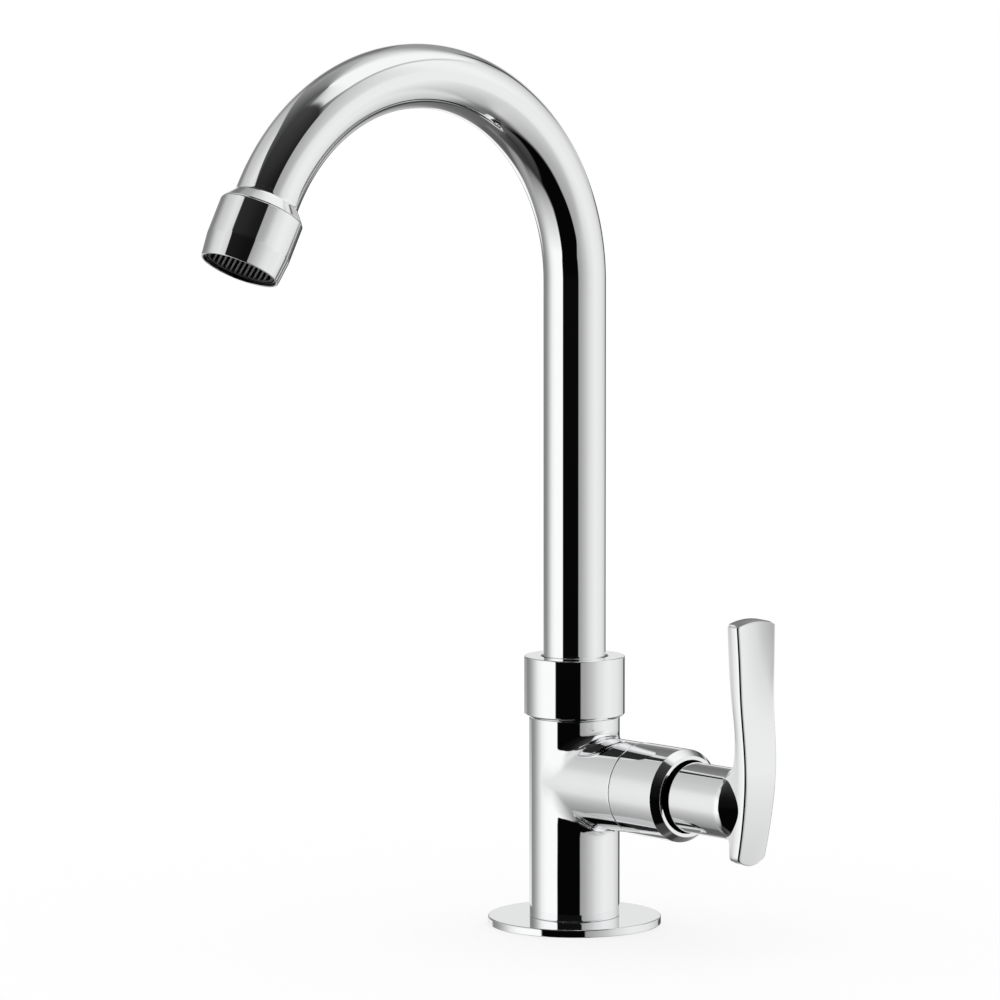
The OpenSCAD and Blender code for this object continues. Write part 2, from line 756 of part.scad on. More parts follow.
// Side view of the blade, as distance along the branch and height from its axis
module blade_side() {
    top = blade_up + crown_h;
    bottom = -blade_down - tip_h;
    web_x = hub_end_x + 0.6;
    front_low = curve([blade_tip_x, bottom], [blade_tip_x + 0.9 * blade_tip_back, bottom + tip_reach],
        [blade_front_x, blade_belly_z - belly_reach], [blade_front_x, blade_belly_z]);
    front_high = curve([blade_front_x, blade_belly_z], [blade_front_x, blade_belly_z + belly_reach],
        [blade_top_x, blade_up - 2 * belly_reach], [blade_top_x, top]);
    back_high = curve([blade_top_x - blade_t, top], [blade_top_x - blade_t, blade_up - 2 * belly_reach],
        [blade_back_x, blade_belly_z + 1.5 * belly_reach], [blade_back_x, blade_belly_z + belly_reach / 2]);
    polygon(concat(front_low, front_high, back_high,
        [[blade_back_x, hub_r], [hub_end_x, 0], [web_x, -hub_r], [web_x, bottom]]));
}

// Front view of the blade, as height from the branch axis and half width, with crowned ends
module blade_front() {
    top_half = blade_top_w / 2;
    bottom_half = blade_bottom_w / 2;
    top_edge = [for (i = [-blade_steps:blade_steps]) let (u = i / blade_steps)
        [u * top_half, blade_up + crown_h * (1 - u * u) - blade_corner * pow(u, 12)]];
    bottom_edge = [for (i = [-blade_steps:blade_steps]) let (u = i / blade_steps)
        [-u * bottom_half, -blade_down - tip_h * (1 - u * u) + blade_corner * pow(u, 12)]];
    polygon(concat(top_edge, [[blade_w(0) / 2, 0]], bottom_edge, [[-blade_w(0) / 2, 0]]));
}

module blade() {
    intersection() {
        translate([0, 0, branch_z]) rotate([90, 0, 0])
            linear_extrude(2 * blade_top_w, center = true) blade_side();
        translate([0, 0, branch_z]) rotate([90, 0, 90])
            linear_extrude(hub_end_x * 2) mirror([1, 0]) blade_front();
    }
}

// Trumpet that blends the hub into the back of the blade, cut to the blade's width
module hub_flare() {
    steps = 8;
    start_x = hub_end_x - 2;
    end_x = start_x + back_fillet;
    arc = [for (i = [0:steps]) let (a = i * 90 / steps)
        [hub_r + back_fillet * (1 - cos(a)), start_x + back_fillet * sin(a)]];
    intersection() {
        translate([0, 0, branch_z]) rotate([0, 90, 0])
            rotate_extrude() polygon(concat([[0, start_x]], arc, [[0, end_x]]));
        translate([start_x - past, -blade_w(0) / 2, branch_z - blade_down])
            cube([back_fillet + 2 * past, blade_w(0), blade_down + blade_up]);
    }
}

module lever() {
    screw_top_z = branch_z - hub_r - past;
    color(chrome) difference() {
        union() {
            on_branch(hub_x) cylinder(r = hub_r, h = hub_len);
            on_branch(hub_end_x) cylinder(r1 = hub_r, r2 = hub_r - hub_cone_len, h = hub_cone_len);
            hub_flare();
            blade();
        }
        on_branch(hub_x - past) cylinder(r = hub_cavity_r, h = hub_cavity_len + past);
        on_branch(bush_x - past) cylinder(r = bush_r + fit, h = bush_len + fit + past);
        translate([set_screw_x, 0, screw_top_z]) cylinder(r = set_screw_r + fit, h = hub_r + past);
        translate([set_screw_x, 0, screw_top_z]) cylinder(r = plug_r + fit, h = plug_t + past + seal_gap);
    }
}

module spline_bush() {
    color(natural) difference() {
        on_branch(bush_x) cylinder(r = bush_r, h = bush_len);
        on_branch(bush_x - past) linear_extrude(bush_len + 2 * past) spline_profile(spline_r + fit);
        translate([set_screw_x, 0, branch_z - bush_r - past])
            cylinder(r = set_screw_r + fit, h = bush_r + past);
    }
}

module set_screw() {
    low = hub_r - plug_t - 0.2;
    socket_depth = 1.8;
    color([0.35, 0.35, 0.36]) translate([set_screw_x, 0, branch_z - low]) difference() {
        cylinder(r = set_screw_r, h = low - spline_r - fit);
        translate([0, 0, -past]) hexagon(set_screw_r, past + socket_depth);
    }
}

module screw_plug() {
    sunk = 0.3;
    color(chrome) translate([set_screw_x, 0, branch_z - hub_r + sunk])
        cylinder(r = plug_r, h = plug_t - sunk);
}

base_flange();
flange_gasket();
shank();
shank_seal();
deck_washer();
clamp_washer();
backnut();
body();
seat_seal();
fixed_disc();
moving_disc();
cartridge_body();
cartridge_oring();
spindle();
spindle_orings();
spindle_circlip();
cartridge_cover();
thrust_washer();
spout_foot();
spout_orings();
slip_ring();
spout_nut();
spout_tube();
outlet_nozzle();
aerator_shell();
aerator_washer();
aerator_cup();
aerator_diffuser();
aerator_screens();
aerator_grille();
lever();
spline_bush();
set_screw();
screw_plug();
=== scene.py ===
"""Looks of a basin tap: plated shells, threads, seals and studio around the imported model."""

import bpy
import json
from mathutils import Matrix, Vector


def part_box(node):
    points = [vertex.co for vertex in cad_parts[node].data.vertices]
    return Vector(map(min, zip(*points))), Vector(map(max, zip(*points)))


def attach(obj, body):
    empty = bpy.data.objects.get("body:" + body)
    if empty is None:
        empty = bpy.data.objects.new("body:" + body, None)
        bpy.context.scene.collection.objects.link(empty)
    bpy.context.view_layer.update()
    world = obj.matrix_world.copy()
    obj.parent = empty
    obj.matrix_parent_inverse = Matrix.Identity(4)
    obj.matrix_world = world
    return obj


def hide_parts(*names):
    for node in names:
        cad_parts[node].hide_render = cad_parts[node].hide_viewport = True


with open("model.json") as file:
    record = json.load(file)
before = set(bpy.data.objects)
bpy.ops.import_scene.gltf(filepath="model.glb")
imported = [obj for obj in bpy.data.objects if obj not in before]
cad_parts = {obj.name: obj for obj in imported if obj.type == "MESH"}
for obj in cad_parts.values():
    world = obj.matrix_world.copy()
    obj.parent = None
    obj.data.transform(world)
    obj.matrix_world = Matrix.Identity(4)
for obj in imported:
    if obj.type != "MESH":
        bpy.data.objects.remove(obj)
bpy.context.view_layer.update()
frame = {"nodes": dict(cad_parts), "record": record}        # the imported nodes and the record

import json
import logging
import math
from dataclasses import dataclass
from enum import Enum
from typing import Any, Iterable, Sequence

import bmesh
import bpy
import numpy as np

MM = 0.001
log = logging.getLogger("basin_tap")


class Body(Enum):
    """Bodies of the model that a piece can ride on."""

    BASE = "base"
    SPOUT = "spout"
    HANDLE = "handle"


class Fold(Enum):
    """How two closed solids are joined or cut."""

    JOIN = "UNION"
    CUT = "DIFFERENCE"


# Frames in which the round pieces are turned


@dataclass(frozen=True)
class Axis:
    """A turning axis: local +Z runs along it.

    Args:
        origin: Point on the axis, in metres.
        basis: Rows are the model's directions of local X, Y and Z.
    """

    origin: tuple[float, float, float]
    basis: tuple[tuple[float, float, float], ...]

    def place(self, points: np.ndarray) -> np.ndarray:
        """Turns local points into the model's frame."""
        return points @ np.array(self.basis) + np.array(self.origin)


def corners_of(node: str) -> tuple[np.ndarray, np.ndarray]:
    """Lowest and highest corner of a node, as arrays in metres."""
    low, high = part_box(node)
    return np.array(low), np.array(high)


BEND_RADIUS = 66 * MM
BEND_ANGLE = math.radians(153)
TUBE_TOP = corners_of("spout_tube")[1][2]
TUBE_RADIUS = corners_of("spout_tube")[1][0]
BEND_HEIGHT = TUBE_TOP - BEND_RADIUS - TUBE_RADIUS
BRANCH_HEIGHT = float(np.mean([corner[2] for corner in corners_of("cartridge_cover")]))

COLUMN = Axis((0, 0, 0), ((1, 0, 0), (0, 1, 0), (0, 0, 1)))
BRANCH = Axis((0, 0, BRANCH_HEIGHT), ((0, 0, -1), (0, 1, 0), (1, 0, 0)))
OUTLET = Axis(
    (0, BEND_RADIUS * (math.cos(BEND_ANGLE) - 1), BEND_HEIGHT + BEND_RADIUS * math.sin(BEND_ANGLE)),
    (
        (1, 0, 0),
        (0, math.cos(BEND_ANGLE), math.sin(BEND_ANGLE)),
        (0, -math.sin(BEND_ANGLE), math.cos(BEND_ANGLE)),
    ),
)


# Surfaces as whole arrays


# Radii of edges: keen, broken and eased
KEEN = 0.05 * MM
BROKEN = 0.1 * MM
EASED = 0.2 * MM
LEAST_RADIUS = 1e-7
# A guard point stands this share of the arc's radius past it, or this part of the side's rest
GUARD_SHARE = 0.35
GUARD_PARTS = 3
MERGE_DISTANCE = 1e-3 * MM
SLIVER_LENGTH = 1e-4 * MM


@dataclass
class Sheet:
    """A grid of points that makes a surface.

    Args:
        points: Array of rows by columns by three, in metres.
        wrap_rows: The last row joins the first.
        wrap_columns: The last column joins the first.
    """

    points: np.ndarray
    wrap_rows: bool = False
    wrap_columns: bool = True

    def faces(self, first: int) -> np.ndarray:
        """Four-cornered faces between neighbouring points.

        Args:
            first: Number of the sheet's first point.

        Returns:
            Numbers of each face's corners, faces by four.
        """
        rows, columns = self.points.shape[:2]
        number = np.arange(rows * columns).reshape(rows, columns)
        if self.wrap_rows:
            number = np.vstack([number, number[:1]])
        if self.wrap_columns:
            number = np.hstack([number, number[:, :1]])
        quads = np.stack([number[:-1, :-1], number[:-1, 1:], number[1:, 1:], number[1:, :-1]], -1)
        return quads.reshape(-1, 4) + first


def rounded(corners: Sequence[tuple[float, float, float]], steps: int = 6) -> np.ndarray:
    """Closed outline whose corners are arcs.

    Each corner is cut at radius / tan(half its angle) along both sides, and an arc about the point on
    its bisector at radius / sin(half its angle) joins the cuts. A guard point stands on each side just
    past the arc, so that the flat beside it stays flat when it is shaded.

    Args:
        corners: Each corner's two coordinates and its radius, in metres.
        steps: Steps in each arc.

    Returns:
        Array of points by two.
    """
    data = np.array(corners, float)
    at, radius = data[:, :2], np.maximum(data[:, 2], LEAST_RADIUS)[:, None]
    back = np.roll(at, 1, 0) - at
    ahead = np.roll(at, -1, 0) - at
    back_room = np.linalg.norm(back, axis=1, keepdims=True)
    ahead_room = np.linalg.norm(ahead, axis=1, keepdims=True)
    back, ahead = back / back_room, ahead / ahead_room
    half = np.arccos(np.clip((back * ahead).sum(1, keepdims=True), -1, 1)) / 2
    cut = radius / np.tan(half)
    middle = (back + ahead) / np.linalg.norm(back + ahead, axis=1, keepdims=True)
    centre = at + middle * radius / np.sin(half)
    start, end = at + back * cut, at + ahead * cut
    turn = np.linspace(0, 1, steps + 1)[None, :, None]
    sweep = (np.pi - 2 * half)[:, None, :]
    from_start, from_end = (start - centre)[:, None, :], (end - centre)[:, None, :]
    arc = centre[:, None, :] + (
        from_start * np.sin((1 - turn) * sweep) + from_end * np.sin(turn * sweep)
    ) / np.sin(sweep)
    guard = GUARD_SHARE * radius
    before = start + back * np.minimum(guard, (back_room - cut) / GUARD_PARTS)
    after = end + ahead * np.minimum(guard, (ahead_room - cut) / GUARD_PARTS)
    return np.concatenate([before[:, None], arc, after[:, None]], 1).reshape(-1, 2)


def split_long(outline: np.ndarray, longest: float, closed: bool = True) -> np.ndarray:
    """Adds points on the sides of an outline.

    Args:
        outline: Points by two, in metres.
        longest: Length that no side is to pass.
        closed: The last point joins the first.

    Returns:
        The outline with its new points.
    """
    ends = np.roll(outline, -1, 0) if closed else outline[1:]
    starts = outline if closed else outline[:-1]
    count = np.maximum(1, np.ceil(np.linalg.norm(ends - starts, axis=1) / longest).astype(int))
    side = np.repeat(np.arange(len(starts)), count)
    share = (np.arange(count.sum()) - np.repeat(np.cumsum(count) - count, count)) / count[side]
    points = starts[side] + (ends - starts)[side] * share[:, None]
    return points if closed else np.vstack([points, outline[-1:]])


def full_turn(steps: int) -> np.ndarray:
    """Angles once round an axis, without the last, which is the first again."""
    return np.linspace(0, 2 * np.pi, steps, endpoint=False)


def turned(outline: np.ndarray, axis: Axis, around: int = 192, closed: bool = True) -> Sheet:
    """Surface of revolution: each point (r, z) goes to (r cos a, r sin a, z) about the axis.

    Args:
        outline: Points (radius, distance along the axis).
        axis: Axis that it turns about.
        around: Steps round the axis.
        closed: The outline's last point joins its first. An open one starts and ends on the axis.

    Returns:
        The sheet.
    """
    angle = full_turn(around)
    radius, along = outline[:, :1], outline[:, 1:]
    local = np.stack([radius * np.cos(angle), radius * np.sin(angle), along + 0 * angle], -1)
    return Sheet(axis.place(local), wrap_rows=closed)


def ring_outline(outer: float, inner: float, low: float, high: float, edge: float) -> np.ndarray:
    """Outline of a ring of rectangular section with rounded edges."""
    return rounded([(outer, low, edge), (outer, high, edge), (inner, high, edge), (inner, low, edge)])


def smooth_curve(knots: Sequence[tuple[float, float]], at: np.ndarray) -> np.ndarray:
    """Natural cubic spline through knots: the second slopes solve the usual three-term equations.

    Args:
        knots: Pairs of place and value, in rising order of place.
        at: Places to read, as an array of any shape. Past the ends it runs on straight.

    Returns:
        Values of the same shape.
    """
    x, y = np.array(knots, float).T
    gap = np.diff(x)
    slope = np.diff(y) / gap
    size = len(x)
    matrix = np.eye(size)
    inner = np.arange(1, size - 1)
    matrix[inner, inner - 1] = gap[:-1]
    matrix[inner, inner] = 2 * (gap[:-1] + gap[1:])
    matrix[inner, inner + 1] = gap[1:]
    right = np.zeros(size)
    right[inner] = 6 * np.diff(slope)
    bend = np.linalg.solve(matrix, right)
    inside = np.clip(at, x[0], x[-1])
    i = np.clip(np.searchsorted(x, inside) - 1, 0, size - 2)
    a, b = x[i + 1] - inside, inside - x[i]
    value = (bend[i] * a**3 + bend[i + 1] * b**3) / (6 * gap[i])
    value += (y[i] / gap[i] - bend[i] * gap[i] / 6) * a + (y[i + 1] / gap[i] - bend[i + 1] * gap[i] / 6) * b
    first = slope[0] - gap[0] * (2 * bend[0] + bend[1]) / 6
    last = slope[-1] + gap[-1] * (bend[-2] + 2 * bend[-1]) / 6
    return value + np.minimum(at - x[0], 0) * first + np.maximum(at - x[-1], 0) * last


def solid(name: str, sheets: Iterable[Sheet], sharp: float = 38) -> bpy.types.Object:
    """Makes one mesh object of sheets, merges their seams and poles and turns the faces outwards.

    Args:
        name: Name of the object.
        sheets: The sheets, which close the surface between them.
        sharp: Edges that turn more than this many degrees stay sharp.

    Returns:
        The object, at the origin.
    """
    points, faces, first = [], [], 0
    for sheet in sheets:
        faces.append(sheet.faces(first))
        points.append(sheet.points.reshape(-1, 3))
        first += len(points[-1])
    corners = np.concatenate(faces).astype(np.int32)
    mesh = bpy.data.meshes.new(name)
    mesh.vertices.add(first)
    mesh.vertices.foreach_set("co", np.concatenate(points).astype(np.float32).ravel())
    mesh.loops.add(corners.size)
    mesh.loops.foreach_set("vertex_index", corners.ravel())
    mesh.polygons.add(len(corners))
    mesh.polygons.foreach_set("loop_start", np.arange(0, corners.size, 4, dtype=np.int32))
    mesh.update(calc_edges=True)
    work = bmesh.new()
    work.from_mesh(mesh)
    bmesh.ops.remove_doubles(work, verts=work.verts, dist=MERGE_DISTANCE)
    bmesh.ops.dissolve_degenerate(work, edges=work.edges, dist=SLIVER_LENGTH)
    bmesh.ops.recalc_face_normals(work, faces=work.faces)
    work.to_mesh(mesh)
    work.free()
    piece = bpy.data.objects.new(name, mesh)
    bpy.context.scene.collection.objects.link(piece)
    shade(mesh, sharp)
    return piece


def shade(mesh: bpy.types.Mesh, sharp: float) -> None:
    """Shades a mesh smooth, apart from its sharp edges.

    Args:
        mesh: The mesh.
        sharp: Edges that turn more than this many degrees stay sharp.
    """
    mesh.polygons.foreach_set("use_smooth", np.ones(len(mesh.polygons), bool))
    mesh.set_sharp_from_angle(angle=math.radians(sharp))
    mesh.update()


def fold(piece: bpy.types.Object, other: bpy.types.Object, how: Fold, sharp: float = 30) -> None:
    """Joins other to piece or cuts it out of piece, and removes other.

    Args:
        piece: Closed solid that is kept.
        other: Closed solid that is used up.
        how: Join or cut.
        sharp: Edges that turn more than this many degrees stay sharp.
    """
    modifier = piece.modifiers.new("fold", "BOOLEAN")
    modifier.operation, modifier.object, modifier.solver = how.value, other, "MANIFOLD"
    graph = bpy.context.evaluated_depsgraph_get()
    made = bpy.data.meshes.new_from_object(piece.evaluated_get(graph))
    piece.modifiers.clear()
    old, piece.data = piece.data, made
    made.name = piece.name
    bpy.data.meshes.remove(old)
    bpy.data.objects.remove(other)
    shade(made, sharp)


def rod(name: str, axis: Axis, radius: float, low: float, high: float, around: int = 96) -> bpy.types.Object:
    """A plain closed cylinder along an axis, used to cut holes."""
    outline = np.array([(0, low), (radius, low), (radius, high), (0, high)])
    return solid(name, [turned(outline, axis, around, closed=False)])


# Shader maths


# An edge is a place and how far it fades on each side. Stops are pairs of place and level.
Edge = tuple[float, float]
Stops = Sequence[tuple[float, float]]


class Socket:
    """An output of a shader node, on which arithmetic adds Math nodes."""

    def __init__(self, graph: "Graph", link: bpy.types.NodeSocket) -> None:
        """Keeps the graph and the output."""
        self.graph = graph
        self.link = link

    def math(self, operation: str, *others: Any) -> "Socket":
        """Adds a Math node whose first value is this one."""
        values = dict(enumerate([self, *others]))
        return self.graph.add("ShaderNodeMath", {"operation": operation}, values)

    def _reflected(self, operation: str, other: float) -> "Socket":
        """Adds a Math node whose second value is this one."""
        return self.graph.add("ShaderNodeMath", {"operation": operation}, {0: other, 1: self})

    def __add__(self, other: Any) -> "Socket":
        """Sum."""
        return self.math("ADD", other)

    __radd__ = __add__

    def __sub__(self, other: Any) -> "Socket":
        """Difference."""
        return self.math("SUBTRACT", other)

    def __rsub__(self, other: float) -> "Socket":
        """Reflected difference."""
        return self._reflected("SUBTRACT", other)

    def __mul__(self, other: Any) -> "Socket":
        """Product."""
        return self.math("MULTIPLY", other)

    __rmul__ = __mul__

    def __truediv__(self, other: Any) -> "Socket":
        """Quotient."""
        return self.math("DIVIDE", other)

    def above(self, edge: Any, soft: float) -> "Socket":
        """Smooth step up at an edge.

        Args:
            edge: Middle of the step.
            soft: Half the step's width.

        Returns:
            0 below the edge and 1 above it.
        """
        return self.graph.add(
            "ShaderNodeMapRange",
            {"interpolation_type": "SMOOTHSTEP"},
            {0: self - edge, 1: -soft, 2: soft, 3: 0.0, 4: 1.0},
        )

    def below(self, edge: Any, soft: float) -> "Socket":
        """1 below the edge and 0 above it."""
        return 1 - self.above(edge, soft)

    def between(self, low: Edge, high: Edge) -> "Socket":
        """1 between two edges."""
        return self.above(*low) * self.below(*high)

    def toward(self, other: Any, share: Any) -> "Socket":
        """This value moved towards another by a share."""
        return self + (other - self) * share


class Graph:
    """Builds the nodes of one material or world."""

    def __init__(self, tree: bpy.types.NodeTree) -> None:
        """Empties the tree."""
        self.tree = tree
        tree.nodes.clear()

    def add(self, kind: str, settings: dict[str, Any], values: dict[Any, Any], output: Any = 0) -> Socket:
        """Adds a node.

        Args:
            kind: Type of the node.
            settings: Attributes of the node, and "stops" for a ramp: pairs of place and grey level.
            values: For each input, by number or name, a value or a Socket.
            output: Number or name of the output that is returned.

        Returns:
            The chosen output.
        """
        node = self.tree.nodes.new(kind)
        for name, value in settings.items():
            if name == "stops":
                self._set_stops(node.color_ramp, value)
            else:
                setattr(node, name, value)
        for name, value in values.items():
            if isinstance(value, Socket):
                self.tree.links.new(value.link, node.inputs[name])
            else:
                node.inputs[name].default_value = value
        return Socket(self, node.outputs[output] if len(node.outputs) else None)

    def split(self, vector: Socket) -> list[Socket]:
        """The three parts of a vector."""
        return [self.add("ShaderNodeSeparateXYZ", {}, {"Vector": vector}, name) for name in ("X", "Y", "Z")]

    def blend(self, share: Socket, first: Any, second: Any) -> Socket:
        """Colour that goes from the first to the second by a share."""
        return self.add("ShaderNodeMix", {"data_type": "RGBA"}, {0: share, 6: first, 7: second}, 2)

    @staticmethod
    def _set_stops(ramp: bpy.types.ColorRamp, stops: Stops) -> None:
        """Puts the stops of a grey ramp in place.

        Args:
            ramp: Ramp with the two stops that a new one has.
            stops: Pairs of place and grey level, two or more.
        """
        while len(ramp.elements) < len(stops):
            ramp.elements.new(0.5)
        for element, (place, level) in zip(ramp.elements, stops):
            element.position = place
            element.color = (level, level, level, 1)


def light(shown: float) -> float:
    """Linear level of a grey that shows as the given share of white."""
    return shown / 12.92 if shown <= 0.04045 else ((shown + 0.055) / 1.055) ** 2.4


# Finishes


@dataclass(frozen=True)
class PaintedShadeBore:
    """A stretch of a cylinder that light hardly reaches, where shade is painted: what lies in it is painted
    dark in its base colour.

    Args:
        axis: Axis of the cylinder.
        radius: Its radius, in metres.
        start: Where it starts along the axis, in metres.
        end: Where it ends.
        soft: How far its ends fade.
        soft_wall: How far its wall fades.
    """

    axis: Axis
    radius: float
    start: float
    end: float
    soft: float = 0.2 * MM
    soft_wall: float = 0.1 * MM

    def mask(self, graph: Graph, place: Socket) -> Socket:
        """1 inside, from the distance along the axis and the squared distance from it.

        Args:
            graph: The material's nodes.
            place: Object coordinates.

        Returns:
            The mask.
        """
        away = [part - start for part, start in zip(graph.split(place), self.axis.origin)]
        x, y, along = [away[0] * row[0] + away[1] * row[1] + away[2] * row[2] for row in self.axis.basis]
        within = along.between((self.start, self.soft), (self.end, self.soft))
        return (x * x + y * y).below(self.radius**2, self.radius * self.soft_wall) * within


@dataclass(frozen=True)
class Finish:
    """A finish of the tap.

    Args:
        name: Name of the material slot that it fills.
        colour: Base colour, linear.
        metallic: 1 for metal and 0 for the rest.
        roughness: Mean roughness.
        spread: How far roughness varies round its mean.
        grain: Size of the fine texture, in millimetres.
        relief: Height of the fine texture, in millimetres.
        swell: Height of the slow waves in a polished casting, in millimetres.
        swell_size: Length of those waves, in millimetres.
        stretch: How many times finer the grain is along the axis than across it, as turning leaves it.
        axis: 0, 1 or 2 for the model's X, Y or Z, about which the piece was turned.
        tarnish: Share by which patches darken.
        bore: Where shade is painted: inside it the base colour is painted dark, as in a recess that light
            hardly reaches.
    """

    name: str
    colour: tuple[float, float, float]
    metallic: float = 1.0
    roughness: float = 0.04
    spread: float = 0.02
    grain: float = 0.5
    relief: float = 0.0
    swell: float = 0.0
    swell_size: float = 14.0
    stretch: float = 1.0
    axis: int = 2
    tarnish: float = 0.0
    bore: PaintedShadeBore | None = None

    def form(self, graph: Graph, place: Socket, height: Socket) -> Socket:
        """Relief of the finish as it is laid on a piece."""
        return height

    @staticmethod
    def noise(graph: Graph, place: Socket, size: float, detail: float) -> Socket:
        """Noise round a half, with lumps of the given size in millimetres."""
        return graph.add("ShaderNodeTexNoise", {}, {"Vector": place, "Scale": 1 / size, "Detail": detail})

    def material(self) -> bpy.types.Material:
        """Builds the material once.

        Roughness is its mean plus two noises, one fine and one in patches. The base colour darkens in
        the patches by the tarnish, and is painted dark as shade in the bore. The bump adds the fine grain
        and the slow swell.

        Returns:
            The material.
        """
        own_name = f"{self.name}_finish"
        made = bpy.data.materials.get(own_name)
        if made:
            return made
        made = bpy.data.materials.new(own_name)
        made.use_nodes = True
        graph = Graph(made.node_tree)
        place = graph.add("ShaderNodeTexCoord", {}, {}, "Object")
        stretched = [1 / MM] * 3
        stretched[self.axis] = self.stretch / MM
        fine_place = graph.add("ShaderNodeMapping", {}, {"Vector": place, "Scale": stretched})
        slow_place = graph.add("ShaderNodeMapping", {}, {"Vector": place, "Scale": [1 / MM] * 3})
        fine = self.noise(graph, fine_place, self.grain, FINE_DETAIL)
        patch = self.noise(graph, slow_place, PATCH_SIZE, PATCH_DETAIL)
        uneven = (fine - 0.5) * FINE_SHARE + (patch - 0.5) * PATCH_SHARE
        rough = self.roughness + uneven * (2 * self.spread)
        dark = tuple(part * (1 - self.tarnish) for part in self.colour)
        colour = graph.blend(patch.above(*PATCH_EDGE), (*self.colour, 1), (*dark, 1))
        # Painted shade: inside the bore the base colour goes to the dark shade colour
        if self.bore:
            colour = graph.blend(self.bore.mask(graph, place), colour, DEEP_SHADE)
        shader = {
            "Base Color": colour,
            "Metallic": self.metallic,
            "Roughness": rough.math("MAXIMUM", LEAST_ROUGHNESS),
        }
        if self.relief or self.swell:
            swell = self.noise(graph, slow_place, self.swell_size, SWELL_DETAIL)
            height = (fine - 0.5) * (self.relief * MM) + (swell - 0.5) * (self.swell * MM)
            height = self.form(graph, place, height)
            shader["Normal"] = graph.add(
                "ShaderNodeBump", {}, {"Height": height, "Strength": 1.0, "Distance": 1.0}
            )
        surface = graph.add("ShaderNodeBsdfPrincipled", {}, shader)
        graph.add("ShaderNodeOutputMaterial", {}, {"Surface": surface})
        return made


@dataclass(frozen=True)
class BladeFinish(Finish):
    """Finish of the lever, whose polished face is hollow and leans a little towards its top.

    Args:
        lean: Slope of the face across the blade, at its top.
        dish: Change of that slope, per millimetre.
        start: Height above the branch where it starts, in millimetres.
        full: Height above the branch where it is full, in millimetres.
    """

    lean: float = 0.3
    dish: float = 0.04
    start: float = 12.0
    full: float = 60.0

    def form(self, graph: Graph, place: Socket, height: Socket) -> Socket:
        """Adds lean times y and half of dish times y squared, faded in by height.

        Args:
            graph: The material's nodes.
            place: Object coordinates.
            height: Relief of the finish.

        Returns:
            The relief with the blade's form.
        """
        y, z = graph.split(place)[1:]
        middle, half = (self.full + self.start) / 2 * MM, (self.full - self.start) / 2 * MM
        share = z.above(BRANCH_HEIGHT + middle, half)
        return height + (y * self.lean + y * y * (self.dish / MM / 2)) * share


# Unevenness of every finish: size of the patches in millimetres, where their noise starts to
# darken, the shares of the fine noise and the patches in the roughness, and the noises' detail
PATCH_SIZE = 9.0
PATCH_EDGE = (0.55, 0.18)
FINE_SHARE = 0.8
PATCH_SHARE = 1.6
FINE_DETAIL = 2.0
PATCH_DETAIL = 3.0
SWELL_DETAIL = 0.0
LEAST_ROUGHNESS = 0.01
# Colour painted as shade inside bores and gaps
DEEP_SHADE = (0.015, 0.014, 0.012, 1)
PLATE = (0.955, 0.96, 0.965)
BRASS = (0.72, 0.52, 0.24)
# Stretches where shade is painted into the base colour: inside the cover, the lever's cavity, the gap round
# the hub and the aerator's mouth
COVER_PAINTED_SHADE = PaintedShadeBore(BRANCH, 12.95 * MM, -60 * MM, 54.2 * MM)
LEVER_PAINTED_SHADE = PaintedShadeBore(BRANCH, 9.4 * MM, 0, 64 * MM)
HUB_GAP_PAINTED_SHADE = PaintedShadeBore(BRANCH, 13.6 * MM, 30 * MM, 66 * MM)
MOUTH_PAINTED_SHADE = PaintedShadeBore(OUTLET, 11.88 * MM, 5.4 * MM, 24.35 * MM)
